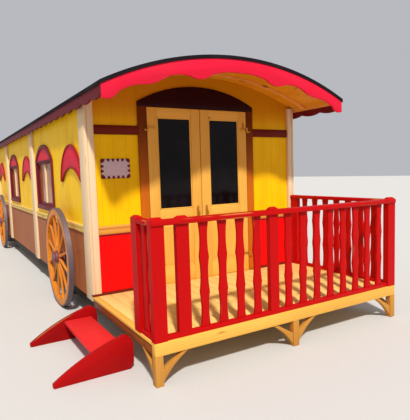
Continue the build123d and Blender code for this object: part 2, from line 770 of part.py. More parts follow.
# Doors: framed leaves with a glazed upper light and a fielded lower panel
leaf_outer = DOORWAY_WIDTH / 2 - DOOR_GAP
leaf_inner = DOOR_MEETING_GAP / 2
leaf_low = FLOOR_TOP + DOOR_GAP
leaf_high = DOORWAY_TOP - DOOR_GAP
leaf_middle = (leaf_outer + leaf_inner) / 2
leaf_width = leaf_outer - leaf_inner
light_width = leaf_width - 2 * DOOR_STILE
light_z = (DOOR_GLASS_BOTTOM, leaf_high - DOOR_TOP_RAIL)
panel_z = (leaf_low + DOOR_BOTTOM_RAIL, DOOR_GLASS_BOTTOM - DOOR_LOCK_RAIL)
door_y = casing_y
for door_name, side in (("left", -1), ("right", 1)):
    leaf_x = DOORWAY_X + side * leaf_middle
    with BuildPart() as door:
        with BuildSketch(across(door_y + DOOR_THICKNESS)):
            with Locations((leaf_x, (leaf_low + leaf_high) / 2)):
                Rectangle(leaf_width, leaf_high - leaf_low)
            for opening in (light_z, panel_z):
                with Locations((leaf_x, (opening[0] + opening[1]) / 2)):
                    Rectangle(light_width, opening[1] - opening[0], mode=Mode.SUBTRACT)
        extrude(amount=DOOR_THICKNESS)
        front_edges = door.faces().sort_by(Axis.Y)[0].inner_wires().edges()
        chamfer(front_edges, 8)
        panel_back = door_y + (DOOR_THICKNESS + DOOR_PANEL_THICKNESS) / 2
        with BuildSketch(across(panel_back)):
            with Locations((leaf_x, (panel_z[0] + panel_z[1]) / 2)):
                Rectangle(light_width, panel_z[1] - panel_z[0])
        extrude(amount=DOOR_PANEL_THICKNESS)
        field_width = light_width - 2 * DOOR_FIELD_MARGIN
        field_height = panel_z[1] - panel_z[0] - 2 * DOOR_FIELD_MARGIN
        with BuildSketch(across(panel_back - DOOR_PANEL_THICKNESS)) as field:
            with Locations((leaf_x, (panel_z[0] + panel_z[1]) / 2)):
                Rectangle(field_width, field_height)
        extrude(amount=DOOR_FIELD_RISE, taper=45)
        for height in HINGE_HEIGHTS:
            eye_x = DOORWAY_X + side * hinge_x
            eye_z = (height - HINGE_EYE_HEIGHT / 2 + HINGE_LUG_GAP, height + HINGE_EYE_HEIGHT / 2)
            eye_half = HINGE_EYE / 2
            block((eye_x - eye_half, eye_x + eye_half), (hinge_y - eye_half, hinge_y + eye_half), eye_z)
            strap = sorted((eye_x, eye_x - side * HINGE_STRAP))
            block(strap, (door_y - HINGE_STRAP_THICKNESS, door_y), eye_z)
            with Locations((eye_x, hinge_y, height)):
                Cylinder(HINGE_PIN_RADIUS + HINGE_CLEARANCE, 2 * HINGE_EYE_HEIGHT, mode=Mode.SUBTRACT)
    door.part.label = f"door_{door_name}"
    save(door.part)
    with BuildPart() as door_glass:
        glass_back = door_y + (DOOR_THICKNESS + DOOR_GLASS_THICKNESS) / 2
        with BuildSketch(across(glass_back)):
            with Locations((leaf_x, (light_z[0] + light_z[1]) / 2)):
                Rectangle(light_width, light_z[1] - light_z[0])
        extrude(amount=DOOR_GLASS_THICKNESS)
    door_glass.part.label = f"door_glass_{door_name}"
    save(door_glass.part)

# Window frames: arched casing with a sunk head on the wall, sash and bar in the opening
with BuildPart() as window_frames:
    casing_face = X_MID - PANEL_X - WINDOW_CASING_PROUD
    for place in WINDOW_PLACES:
        middle = Y_FRONT + place
        with BuildSketch(Plane.YZ.offset(casing_face)):
            window_casing(middle)
        extrude(amount=WINDOW_CASING_PROUD)
        with BuildSketch(Plane.YZ.offset(casing_face)):
            window_head(middle)
        extrude(amount=WINDOW_CASING_PROUD - WINDOW_HEAD_THICKNESS, mode=Mode.SUBTRACT)
        with BuildSketch(Plane.YZ.offset(casing_face)):
            window_rebate(middle)
        extrude(amount=WINDOW_CASING_PROUD, mode=Mode.SUBTRACT)
        with BuildSketch(Plane.YZ.offset(X_MID - PANEL_X)):
            window_opening(middle)
        extrude(amount=SASH_DEPTH)
        with BuildSketch(Plane.YZ.offset(X_MID - PANEL_X)):
            window_lights(middle)
        extrude(amount=SASH_DEPTH, mode=Mode.SUBTRACT)
    mirror(about=Plane.YZ.offset(X_MID))
    rear_face = Y_PANEL_REAR + WINDOW_CASING_PROUD
    with BuildSketch(across(rear_face)):
        window_casing(X_MID)
    extrude(amount=WINDOW_CASING_PROUD)
    with BuildSketch(across(rear_face)):
        window_head(X_MID)
    extrude(amount=WINDOW_CASING_PROUD - WINDOW_HEAD_THICKNESS, mode=Mode.SUBTRACT)
    with BuildSketch(across(rear_face)):
        window_rebate(X_MID)
    extrude(amount=WINDOW_CASING_PROUD, mode=Mode.SUBTRACT)
    with BuildSketch(across(Y_PANEL_REAR)):
        window_opening(X_MID)
    extrude(amount=SASH_DEPTH)
    with BuildSketch(across(Y_PANEL_REAR)):
        window_lights(X_MID)
    extrude(amount=SASH_DEPTH, mode=Mode.SUBTRACT)
window_frames.part.label = "window_frames"
save(window_frames.part)

with BuildPart() as window_glass:
    pane_inset = (SASH_DEPTH - WINDOW_GLASS_THICKNESS) / 2
    for place in WINDOW_PLACES:
        with BuildSketch(Plane.YZ.offset(X_MID - PANEL_X + pane_inset)):
            window_lights(Y_FRONT + place)
        extrude(amount=WINDOW_GLASS_THICKNESS)
    mirror(about=Plane.YZ.offset(X_MID))
    with BuildSketch(across(Y_PANEL_REAR - pane_inset)):
        window_lights(X_MID)
    extrude(amount=WINDOW_GLASS_THICKNESS)
window_glass.part.label = "window_glass"
save(window_glass.part)

# Crescent ornaments, tips down
with BuildPart() as crescents:
    for place in CRESCENT_PLACES:
        middle = Y_FRONT + place
        tip = CRESCENT_WIDTH / 2
        with BuildSketch(Plane.YZ.offset(X_MID - PANEL_X - CRESCENT_THICKNESS)):
            with BuildLine():
                ThreePointArc(
                    (middle - tip, CRESCENT_TIP),
                    (middle, CRESCENT_TOP),
                    (middle + tip, CRESCENT_TIP),
                )
                Line((middle + tip, CRESCENT_TIP), (middle + tip - CRESCENT_TIP_WIDTH, CRESCENT_TIP))
                ThreePointArc(
                    (middle + tip - CRESCENT_TIP_WIDTH, CRESCENT_TIP),
                    (middle, CRESCENT_INNER_TOP),
                    (middle - tip + CRESCENT_TIP_WIDTH, CRESCENT_TIP),
                )
                Line((middle - tip + CRESCENT_TIP_WIDTH, CRESCENT_TIP), (middle - tip, CRESCENT_TIP))
            make_face()
        extrude(amount=CRESCENT_THICKNESS)
    mirror(about=Plane.YZ.offset(X_MID))
crescents.part.label = "crescents"
save(crescents.part)

# Blank sign plate with cut corners, between the corner post and the door casing
sign_x = X_MID - front_inner + SIGN_FROM_POST + SIGN_WIDTH / 2
with BuildPart() as sign_plate:
    with BuildSketch(across(Y_PANEL)):
        with Locations((sign_x, SIGN_Z)):
            plate = Rectangle(SIGN_WIDTH, SIGN_HEIGHT)
        chamfer(plate.vertices(), SIGN_CORNER)
    extrude(amount=SIGN_THICKNESS)
sign_plate.part.label = "sign_plate"
save(sign_plate.part)

# Porch deck: boards running front to back inside edge beams as wide as the rail posts on them
deck_half = CABIN_WIDTH / 2
edge_z = (FLOOR_TOP - DECK_EDGE_HEIGHT, FLOOR_TOP)
with BuildPart() as deck_boards:
    run = CABIN_WIDTH - 2 * POST_THICKNESS
    boards = round((run + DECK_BOARD_GAP) / (DECK_BOARD_WIDTH + DECK_BOARD_GAP))
    board_pitch = (run + DECK_BOARD_GAP) / boards
    for index in range(boards):
        low = X_MID - run / 2 + index * board_pitch
        block(
            (low, low + board_pitch - DECK_BOARD_GAP),
            (Y_DECK + POST_THICKNESS, Y_FRONT),
            (FLOOR_TOP - DECK_BOARD_THICKNESS, FLOOR_TOP),
        )
deck_boards.part.label = "deck_boards"
save(deck_boards.part)

with BuildPart() as deck_frame:
    block((X_MID - deck_half, X_MID + deck_half), (Y_DECK, Y_DECK + POST_THICKNESS), edge_z)
    for side in (-1, 1):
        edge = sorted((X_MID + side * deck_half, X_MID + side * (deck_half - POST_THICKNESS)))
        block(edge, (Y_DECK, Y_FRONT), edge_z)
    joist_z = (edge_z[0], FLOOR_TOP - DECK_BOARD_THICKNESS)
    joist_run = DECK_DEPTH - POST_THICKNESS - DECK_JOIST_WIDTH
    for index in range(1, DECK_JOISTS):
        joist_y = Y_DECK + POST_THICKNESS + joist_run * index / (DECK_JOISTS - 1)
        block((X_MID - deck_half, X_MID + deck_half), (joist_y, joist_y + DECK_JOIST_WIDTH), joist_z)
    ledger = (Y_DECK + POST_THICKNESS, Y_DECK + POST_THICKNESS + DECK_LEDGER)
    block((X_MID - deck_half, X_MID + deck_half), ledger, joist_z)
deck_frame.part.label = "deck_frame"
save(deck_frame.part)


def brace_outline(foot_x, way):
    """Knee brace with a curved lower edge, from the leg's foot out to the deck's edge."""
    top = edge_z[0]
    end = foot_x + way * BRACE_REACH
    with BuildLine() as outline:
        ThreePointArc(
            (foot_x, BRACE_FOOT),
            (foot_x + way * BRACE_REACH * 0.42, top * 0.60),
            (end, top),
        )
        Polyline(
            (end, top),
            (end - way * BRACE_WIDTH, top),
            (foot_x, BRACE_FOOT + 2 * BRACE_WIDTH),
            (foot_x, BRACE_FOOT),
        )
    make_face(outline.edges())


# Legs under the porch with curved braces
with BuildPart() as deck_legs:
    leg_z = (0, edge_z[0])
    brace_y = Y_DECK + (LEG_SIZE + BRACE_THICKNESS) / 2
    for leg_x, ways in ((-deck_half + LEG_SIZE / 2, (1,)), (0, (-1, 1)), (deck_half - LEG_SIZE / 2, (-1,))):
        mid_x = X_MID + leg_x
        block(
            (mid_x - LEG_SIZE / 2, mid_x + LEG_SIZE / 2),
            (Y_DECK, Y_DECK + LEG_SIZE),
            leg_z,
        )
        with BuildSketch(across(brace_y)):
            for way in ways:
                brace_outline(mid_x + way * LEG_SIZE / 2, way)
        extrude(amount=BRACE_THICKNESS)
    for side in (-1, 1):
        brace_x = X_MID + side * (deck_half - LEG_SIZE / 2) - BRACE_THICKNESS / 2
        with BuildSketch(Plane.YZ.offset(brace_x)):
            brace_outline(Y_DECK + LEG_SIZE, 1)
        extrude(amount=BRACE_THICKNESS)
deck_legs.part.label = "deck_legs"
save(deck_legs.part)

# Railing: heights shared by all three sides
rail_top = FLOOR_TOP + RAIL_HEIGHT
rail_low = FLOOR_TOP + BOTTOM_RAIL_HEIGHT


def baluster_outline(middle):
    """Flat board with scoops sawn out of both edges."""
    cut_depth = (BALUSTER_WIDE - BALUSTER_NARROW) / 2
    edge = scooped(rail_low, rail_top - HANDRAIL_HEIGHT, BALUSTER_SCOOPS, cut_depth)
    right = [(middle + BALUSTER_WIDE / 2 - cut, height) for height, cut in edge]
    left = [(middle - BALUSTER_WIDE / 2 + cut, height) for height, cut in reversed(edge)]
    with BuildLine() as outline:
        Polyline(*right, *left, close=True)
    make_face(outline.edges())


# Front railing: two corner posts, a second post beside the left one, and a taller one among
# the balusters, which keep an equal pitch from the first of them to the right corner post
front_rail_y = Y_DECK + POST_THICKNESS / 2
post_run = CABIN_WIDTH - POST_WIDTH
second_x = X_MID - post_run / 2 + SECOND_POST_SPACE
first_x = second_x + FIRST_BALUSTER_SPACE
front_run = X_MID + post_run / 2 - first_x
front_spaces = round(front_run / BALUSTER_PITCH)
front_pitch = front_run / front_spaces
with BuildPart() as railing_front:
    for side in (-1, 1):
        post_x = X_MID + side * post_run / 2
        block(
            (post_x - POST_WIDTH / 2, post_x + POST_WIDTH / 2),
            (Y_DECK, Y_DECK + POST_THICKNESS),
            (FLOOR_TOP, rail_top + POST_CAP_RISE),
        )
    tall_x = first_x + MIDDLE_POST_PLACE * front_pitch
    for post_x, width, rise in (
        (second_x, POST_WIDTH, POST_CAP_RISE),
        (tall_x, MIDDLE_POST_WIDTH, MIDDLE_POST_RISE),
    ):
        block(
            (post_x - width / 2, post_x + width / 2),
            (Y_DECK + INNER_POST_INSET, Y_DECK + POST_THICKNESS - INNER_POST_INSET),
            (rail_low, rail_top + rise),
        )
    block(
        (X_MID - deck_half, X_MID + deck_half),
        (front_rail_y - HANDRAIL_WIDTH / 2, front_rail_y + HANDRAIL_WIDTH / 2),
        (rail_top - HANDRAIL_HEIGHT, rail_top),
    )
    block(
        (X_MID - deck_half, X_MID + deck_half),
        (front_rail_y - BOTTOM_RAIL_WIDTH / 2, front_rail_y + BOTTOM_RAIL_WIDTH / 2),
        (FLOOR_TOP, rail_low),
    )
    with BuildSketch(across(front_rail_y + BALUSTER_THICKNESS / 2)):
        for index in range(front_spaces):
            if index != MIDDLE_POST_PLACE:
                baluster_outline(first_x + index * front_pitch)
    extrude(amount=BALUSTER_THICKNESS)
railing_front.part.label = "railing_front"
save(railing_front.part)

# Side railings: a full one on the right, a short return on the left beside the steps
side_rail_x = deck_half - POST_THICKNESS / 2
side_start = Y_DECK + POST_THICKNESS
for rail_name, side, rear_y, rear_rise in (
    ("right", 1, Y_FRONT, 0),
    ("left", -1, Y_DECK + LEFT_RETURN, POST_CAP_RISE),
):
    rail_x = X_MID + side * side_rail_x
    rear_post = (rear_y - POST_WIDTH, rear_y)
    run = rear_y - POST_WIDTH / 2 - side_start
    spaces = round(run / BALUSTER_PITCH)
    pitch = run / spaces
    with BuildPart() as railing:
        block(
            (rail_x - POST_THICKNESS / 2, rail_x + POST_THICKNESS / 2),
            rear_post,
            (FLOOR_TOP, rail_top + rear_rise),
        )
        side_run = (Y_DECK + HANDRAIL_WIDTH, rear_y)
        handrail_x = sorted((rail_x + side * POST_THICKNESS / 2, rail_x - side * HANDRAIL_WIDTH / 2))
        block(handrail_x, side_run, (rail_top - HANDRAIL_HEIGHT, rail_top))
        block(
            (rail_x - BOTTOM_RAIL_WIDTH / 2, rail_x + BOTTOM_RAIL_WIDTH / 2),
            (side_start, rear_y),
            (FLOOR_TOP, rail_low),
        )
        with BuildSketch(Plane.YZ.offset(rail_x - BALUSTER_THICKNESS / 2)):
            for index in range(1, spaces):
                baluster_outline(side_start + index * pitch)
        extrude(amount=BALUSTER_THICKNESS)
    railing.part.label = f"railing_{rail_name}"
    save(railing.part)

# Side steps: two swept stringers standing on the ground, and one tread between them
step_high = Y_FRONT - STEP_REAR
step_low = step_high - STEP_WIDTH
step_inner = X_MID - deck_half - STEP_GAP
with BuildPart() as step_stringers:
    for stringer_y in (step_low + STRINGER_THICKNESS, step_high):
        with BuildSketch(across(stringer_y)):
            tip_x = step_inner - STRINGER_LENGTH
            with BuildLine():
                Polyline(
                    (step_inner, 60),
                    (step_inner - 30, 0),
                    (tip_x + 14, 0),
                    (tip_x, 10),
                    (tip_x, STRINGER_TIP),
                )
                ThreePointArc(
                    (tip_x, STRINGER_TIP),
                    (step_inner - STRINGER_LENGTH * 0.46, STRINGER_HEIGHT * 0.76),
                    (step_inner - STRINGER_SHOULDER, STRINGER_HEIGHT),
                )
                ThreePointArc(
                    (step_inner - STRINGER_SHOULDER, STRINGER_HEIGHT),
                    (step_inner - 16, STRINGER_HEIGHT * 0.86),
                    (step_inner, STRINGER_HEIGHT * 0.6),
                )
                Line((step_inner, STRINGER_HEIGHT * 0.6), (step_inner, 60))
            make_face()
        extrude(amount=STRINGER_THICKNESS)
step_stringers.part.label = "step_stringers"
save(step_stringers.part)

with BuildPart() as step_tread:
    block(
        (step_inner - TREAD_FROM_DECK - TREAD_DEPTH, step_inner - TREAD_FROM_DECK),
        (step_low + STRINGER_THICKNESS, step_high - STRINGER_THICKNESS),
        (TREAD_TOP - TREAD_THICKNESS, TREAD_TOP),
    )
step_tread.part.label = "step_tread"
save(step_tread.part)
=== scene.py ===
"""Looks of the park vardo wagon: joinery, paint, iron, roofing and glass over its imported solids.

Metres, in the frame of the solids: +X is the wagon's right side seen from the porch, +Y its rear, +Z up.
"""

from cmath import phase, rect
from math import cos, pi, radians, sin, sqrt
from random import Random

import bmesh
import bpy
from mathutils import Matrix, Vector


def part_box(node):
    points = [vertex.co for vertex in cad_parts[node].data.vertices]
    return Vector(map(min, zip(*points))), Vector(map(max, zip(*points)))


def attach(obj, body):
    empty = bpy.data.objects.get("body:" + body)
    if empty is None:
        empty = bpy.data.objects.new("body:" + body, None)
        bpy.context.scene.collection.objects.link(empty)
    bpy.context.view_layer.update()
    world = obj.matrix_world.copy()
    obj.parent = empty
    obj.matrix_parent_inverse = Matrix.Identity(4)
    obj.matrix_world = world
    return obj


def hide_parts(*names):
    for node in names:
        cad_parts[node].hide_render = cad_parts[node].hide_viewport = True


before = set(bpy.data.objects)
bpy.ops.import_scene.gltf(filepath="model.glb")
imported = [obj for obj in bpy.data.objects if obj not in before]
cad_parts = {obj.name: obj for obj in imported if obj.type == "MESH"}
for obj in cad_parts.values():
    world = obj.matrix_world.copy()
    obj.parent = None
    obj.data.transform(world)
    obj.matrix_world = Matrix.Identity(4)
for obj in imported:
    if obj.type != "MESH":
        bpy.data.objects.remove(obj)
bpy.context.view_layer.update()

# Where the wagon stands, read from its solids
posts_low, posts_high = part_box("cabin_posts")
MID = (posts_low.x + posts_high.x) / 2
HALF = (posts_high.x - posts_low.x) / 2
FRONT = posts_low.y
REAR = posts_high.y
BODY_LOW = posts_low.z
DECK_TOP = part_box("deck_boards")[1].z
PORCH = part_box("deck_frame")[0].y
ROOF_LOW, ROOF_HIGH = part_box("roof_cover")
ROOF_TOP = ROOF_HIGH.z
ROOF_HALF = (ROOF_HIGH.x - ROOF_LOW.x) / 2
casing_low, casing_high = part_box("door_casing")
DOOR_MID = (casing_low.x + casing_high.x) / 2

# Sizes that the solids share
POST_PROUD = 0.040
POST_FACE = 0.095
POST_SIDE = 0.220
SIDE_POSTS = [(FRONT + place - POST_SIDE / 2, FRONT + place + POST_SIDE / 2) for place in (3.01, 5.91)]
CORNER = HALF - POST_FACE
PANEL = HALF - POST_PROUD
FRONT_PANEL = FRONT + POST_PROUD
REAR_PANEL = REAR - POST_PROUD
WALL = 0.070
DOORWAY = 0.659
DOORWAY_TOP = 2.293
CASING_HALF = DOORWAY + 0.098
ROOF_DROP = 0.331
ROOF_RADIUS = (ROOF_HALF**2 + ROOF_DROP**2) / (2 * ROOF_DROP)
COVER = 0.008
SOFFIT = 0.038
TRIM = 0.025
EAVE = ROOF_HALF - COVER

ALONG_X, ALONG_Y, UPRIGHT = (1, 0, 0), (0, 1, 0), (0, 0, 1)


def maths(operation, swapped=False):
    """An operator between a wire and a number or another wire, as a Math node."""

    def work(self, other):
        first, second = (other, self) if swapped else (self, other)
        return self.finish.node("Math", {"operation": operation}, {0: first, 1: second})

    return work


class Wire:
    """One socket of a material. Sums and products of wires become Math nodes."""

    __add__, __radd__ = maths("ADD"), maths("ADD", True)
    __sub__, __rsub__ = maths("SUBTRACT"), maths("SUBTRACT", True)
    __mul__, __rmul__ = maths("MULTIPLY"), maths("MULTIPLY", True)
    __truediv__, __rtruediv__ = maths("DIVIDE"), maths("DIVIDE", True)

    def __init__(self, finish, socket):
        self.finish = finish
        self.socket = socket


class Finish:
    """A material made of nodes. What is the same all over goes straight onto the shader's sockets."""

    def __init__(self, name, fixed):
        self.material = bpy.data.materials.new(name)
        self.material.use_nodes = True
        self.tree = self.material.node_tree
        self.shader = self.tree.nodes["Principled BSDF"]
        for socket, value in {"Specular IOR Level": 0.08, **fixed}.items():
            self.shader.inputs[socket].default_value = value

    def connect(self, socket, value):
        if isinstance(value, Wire):
            self.tree.links.new(value.socket, socket)
        else:
            socket.default_value = value

    def node(self, kind, settings, sockets, output=0):
        """Adds a node, sets it up, then fills its sockets. Gives back one output, or all of them."""
        node = self.tree.nodes.new("ShaderNode" + kind)
        for name, value in settings.items():
            setattr(node, name, value)
        for name, value in sockets.items():
            self.connect(node.inputs[name], value)
        if output == "all":
            return [Wire(self, socket) for socket in node.outputs]
        return Wire(self, node.outputs[output])

    def grain(self):
        """Place along, across and through each board of a piece."""
        return self.node("Attribute", {"attribute_name": "grain"}, {}, "Vector")

    def edges(self):
        """One on the eased edges of a piece, nothing on its flats."""
        return self.node("Attribute", {"attribute_name": "edge"}, {}, "Fac")

    def spot(self):
        """Place on the wagon."""
        return self.node("TexCoord", {}, {}, "Object")

    def split(self, vector):
        return self.node("SeparateXYZ", {}, {0: vector}, "all")

    def join(self, x, y, z):
        return self.node("CombineXYZ", {}, {0: x, 1: y, 2: z})

    def stretch(self, vector, factors):
        return self.node("VectorMath", {"operation": "MULTIPLY"}, {0: vector, 1: factors})

    def noise(self, vector, scale, detail):
        sockets = {"Vector": vector, "Scale": scale, "Detail": detail, "Roughness": 0.55}
        return self.node("TexNoise", {}, sockets)

    def chance(self, value):
        """A number from 0 to 1 for each whole value."""
        return self.node("TexWhiteNoise", {"noise_dimensions": "1D"}, {"W": value})

    def step(self, value, low, high):
        """Climbs smoothly from 0 to 1 as value goes from low to high."""
        sockets = {0: value, 1: low, 2: high, 3: 0.0, 4: 1.0}
        return self.node("MapRange", {"interpolation_type": "SMOOTHSTEP"}, sockets)

    def joints(self, value, pitch, width):
        """One in the joint between two boards of that pitch, nothing elsewhere."""
        from_joint = self.node("Math", {"operation": "PINGPONG"}, {0: value, 1: pitch / 2})
        return 1 - self.step(from_joint, width * 0.25, width * 0.75)

    def blend(self, share, first, second):
        """Colour between two, by share. Each is a wire or a paint chip."""
        first, second = (chip if isinstance(chip, Wire) else shade(chip) for chip in (first, second))
        return self.node("Mix", {"data_type": "RGBA"}, {0: share, 6: first, 7: second}, 2)

    def made(self, colour, roughness, height=None, distance=0.0, strength=0.0):
        """The material, with what varies over its surface connected, and bumps if it has a height."""
        self.connect(self.shader.inputs["Base Color"], colour)
        self.connect(self.shader.inputs["Roughness"], roughness)
        if height:
            sockets = {"Height": height, "Distance": distance, "Strength": strength}
            self.connect(self.shader.inputs["Normal"], self.node("Bump", {}, sockets))
        return self.material


def shade(chip):
    """A paint chip's red, green and blue, from 0 to 255, as the linear colour that a shader takes."""
    parts = [part / 255 for part in chip]
    return [part / 12.92 if part <= 0.04045 else ((part + 0.055) / 1.055) ** 2.4 for part in parts] + [1.0]


def upright_run(finish):
    """Run of grain for a solid whose boards stand upright."""
    x, y, z = finish.split(finish.spot())
    return finish.join(z, x + y, y - x)


def lengthwise_run(finish):
    """Run of grain for a solid whose boards lie along the wagon."""
    x, y, z = finish.split(finish.spot())
    return finish.join(y, x + z, z - x)


def varnished(name, pale, deep, knot, run=Finish.grain, gloss=0.42, ring=24.0):
    """Varnished softwood: growth rings, fine streaks, knots and clouded boards."""
    finish = Finish(name, {"Coat Weight": 0.03, "Coat Roughness": 0.25})
    run = run(finish)
    wave = {"Scale": 1.0, "Distortion": 5.0, "Detail": 2.0, "Detail Scale": 0.7}
    wave["Vector"] = finish.stretch(run, (0.5, ring, ring))
    rings = finish.node("TexWave", {"bands_direction": "Y"}, wave, "Fac")
    streaks = finish.noise(finish.stretch(run, (4.0, 160.0, 160.0)), 1.0, 3.0)
    clouds = finish.noise(finish.stretch(run, (0.8, 3.0, 3.0)), 1.0, 2.0)
    cells = {"Vector": finish.stretch(run, (1.6, 6.5, 6.5)), "Scale": 1.0}
    knots = 1 - finish.step(finish.node("TexVoronoi", {}, cells, "Distance"), 0.04, 0.13)
    wood = finish.blend(finish.step(rings * 0.5 + streaks * 0.5, 0.25, 0.95) * 0.65, pale, deep)
    wood = finish.blend(finish.step(clouds, 0.35, 0.7) * 0.35, wood, deep)
    wood = finish.blend(knots * 0.8, wood, knot)
    gloss = gloss + streaks * 0.18 + knots * 0.1
    return finish.made(wood, gloss, rings * 0.35 + streaks * 0.65, 0.0012, 0.6)


MATCHBOARD = 0.14
MATCHBOARD_JOINT = 0.006


def painted(name, colour, weathered_and_shaded, bare, run=Finish.grain, boards=False, painted_roof_shade=None):
    """Brush-painted timber: brush marks, patches of weathered paint, and either matchboard joints or rubbed
    edges. In the step red the patches are painted dappled shade.

    The last argument is a deeper colour painted in as shade under the porch roof, and the heights that it
    comes in between.
    """
    finish = Finish(name, {"Coat Weight": 0.03, "Coat Roughness": 0.18})
    run = run(finish)
    brush = finish.noise(finish.stretch(run, (5.0, 220.0, 220.0)), 1.0, 2.0)
    patches = finish.noise(run, 2.2, 3.0)
    # Patches towards the second colour: weathered paint, and painted dappled shade in the step red
    weathering_and_shade = finish.step(patches, 0.42, 0.75) * 0.5 + brush * 0.22
    height = brush * 0.3
    if boards:
        across = finish.split(run)[1]
        between = finish.joints(across, MATCHBOARD, MATCHBOARD_JOINT)
        whole = finish.node("Math", {"operation": "FLOOR"}, {0: across / MATCHBOARD + 0.5})
        weathering_and_shade = weathering_and_shade + finish.chance(whole) * 0.25
        height = height - between * 3
        dark = finish.blend(0.5, colour, (0, 0, 0))
        paint = finish.blend(between * 0.32, finish.blend(weathering_and_shade, colour, weathered_and_shaded), dark)
    else:
        rubbed = finish.step(finish.edges() * 0.5 + patches, 1.1, 1.25) * 0.5
        paint = finish.blend(rubbed, finish.blend(weathering_and_shade, colour, weathered_and_shaded), bare)
    # Painted shade: the paint deepens towards the porch roof
    if painted_roof_shade:
        deep, low, high = painted_roof_shade
        rise = finish.split(finish.spot())[2]
        paint = finish.blend(finish.step(rise, low, high), paint, deep)
    return finish.made(paint, 0.36 + patches * 0.2 + brush * 0.08, height, 0.0015, 0.5)


def metal(name, colour, rust, gloss, shine, wear=0.5):
    """Forged or rolled iron or brass: mottled, a little rusty or dull in blotches."""
    finish = Finish(name, {"Metallic": shine})
    spot = finish.spot()
    scale = finish.noise(spot, 38.0, 4.0)
    blotch = finish.noise(spot, 7.0, 3.0)
    mottle = finish.step(blotch * 0.6 + scale * 0.4, 0.48, 0.68)
    colour = finish.blend(mottle * wear, colour, rust)
    return finish.made(colour, gloss + scale * 0.25, scale, 0.0012, 0.5)


CREAM = (231, 204, 169)
PINE = (212, 152, 76)
KNOT = (126, 72, 34)

deck_pine = varnished("deck_pine", (242, 206, 128), (214, 162, 82), KNOT)
door_pine = varnished("golden_door_pine", (234, 182, 84), (207, 141, 51), (116, 62, 22))
belt_pine = varnished("golden_belt_pine", (221, 156, 72), (206, 137, 56), (110, 60, 24))
# The side belts' pine is a paler copy of the front belt's: painted sunlight on the sides
pale_belt_pine = varnished("straw_belt_pine", (232, 198, 104), (214, 172, 80), (120, 70, 30))
# The legs' pine is a darker copy of the porch pine: painted shade under the deck
leg_pine = varnished("shade_darkened_leg_pine", (196, 140, 64), (172, 110, 38), (96, 52, 20))
# The side beams' pine is a dark brown copy of the porch pine: painted shade under the deck edge
beam_pine = varnished("brown_beam_pine", (152, 84, 40), (130, 68, 30), (84, 44, 20))
cream_pine = varnished("limed_pine", CREAM, (214, 181, 136), (166, 128, 88), ring=30.0)
amber_boards = varnished(
    "amber_ceiling_boards", (240, 168, 34), (212, 126, 18), (116, 60, 14), lengthwise_run
)
amber_trim = varnished("amber_trim", (238, 171, 79), (215, 132, 47), (112, 58, 18))
floor_boards = varnished("cabin_floor_boards", (240, 196, 122), PINE, KNOT, lengthwise_run)
wheel_varnish = varnished("orange_wheel_varnish", (218, 136, 40), (176, 86, 18), (96, 40, 12), gloss=0.3)

yellow_side = painted("yellow_matchboard", (255, 206, 4), (240, 182, 8), CREAM, upright_run, True)
# Front wall: a deeper amber copy of the side walls' yellow, painted shade of the porch roof, deepening
# towards the roof
porch_shade = ((199, 129, 5), 1.95, 2.35)
yellow_front = painted(
    "amber_yellow_matchboard", (247, 197, 6), (234, 174, 8), CREAM, upright_run, True, porch_shade
)
russet_side = painted("russet_matchboard", (168, 92, 40), (156, 92, 60), KNOT, upright_run, True)
# The rails' red is a deeper copy of the panels' red: painted shade
red = painted("bright_red_gloss", (184, 5, 6), (168, 10, 11), PINE)
# Stringers and tread share one red: the stringers' darker, mottled copy is painted dappled shade, the tread's
# paler copy painted sunlit sheen
step_red = painted("step_red_gloss", (166, 7, 9), (118, 5, 7), PINE)
tread_red = painted("tread_red_gloss", (218, 40, 42), (198, 48, 48), PINE)
red_panel = painted("bright_red_panel", (236, 10, 10), (214, 14, 14), PINE, upright_run)
rose = painted("rose_red_gloss", (218, 24, 55), (204, 34, 58), PINE)
nave_maroon = painted("nave_maroon_gloss", (126, 44, 58), (140, 62, 72), KNOT)
oxblood = painted("oxblood_gloss", (138, 30, 26), (150, 44, 34), KNOT)
maroon = painted("maroon_gloss", (104, 24, 34), (122, 38, 46), KNOT)
dark_maroon = painted("dark_maroon_gloss", (38, 5, 8), (48, 10, 12), KNOT)
chocolate = painted("chocolate_gloss", (102, 26, 14), (112, 36, 20), KNOT)
# The door surround's stain deepens towards the porch roof: painted shade
umber = painted("umber_stain", (190, 98, 18), (198, 108, 26), KNOT, painted_roof_shade=((104, 44, 7), 1.15, 2.25))

tyre_iron = metal("tyre_iron", (118, 104, 110), (104, 72, 58), 0.4, 0.55)
axle_iron = metal("forged_axle_iron", (92, 84, 88), (104, 70, 52), 0.5, 0.4)
hinge_brass = metal("lacquered_hinge_brass", (206, 150, 62), (150, 96, 40), 0.34, 0.8)
chassis_paint = metal("black_chassis_paint", (28, 27, 28), (70, 46, 36), 0.4, 0.0, 0.35)


def roofing_felt():
    """Black sheet in widths laid from eave to eave, lapped and dusty."""
    finish = Finish("black_roof_sheet", {})
    y = finish.split(finish.spot())[1]
    grit = finish.noise(finish.spot(), 240.0, 2.0)
    dust = finish.noise(finish.spot(), 1.6, 4.0)
    lap = finish.joints(y, 1.0, 0.03)
    felt = finish.blend(grit * 0.4, (20, 15, 19), (44, 38, 44))
    felt = finish.blend(finish.step(dust, 0.45, 0.75) * 0.25, felt, (72, 66, 66))
    felt = finish.blend(lap * 0.6, felt, (16, 15, 16))
    return finish.made(felt, 0.72 + grit * 0.2, grit * 0.25 - lap, 0.003, 0.6)


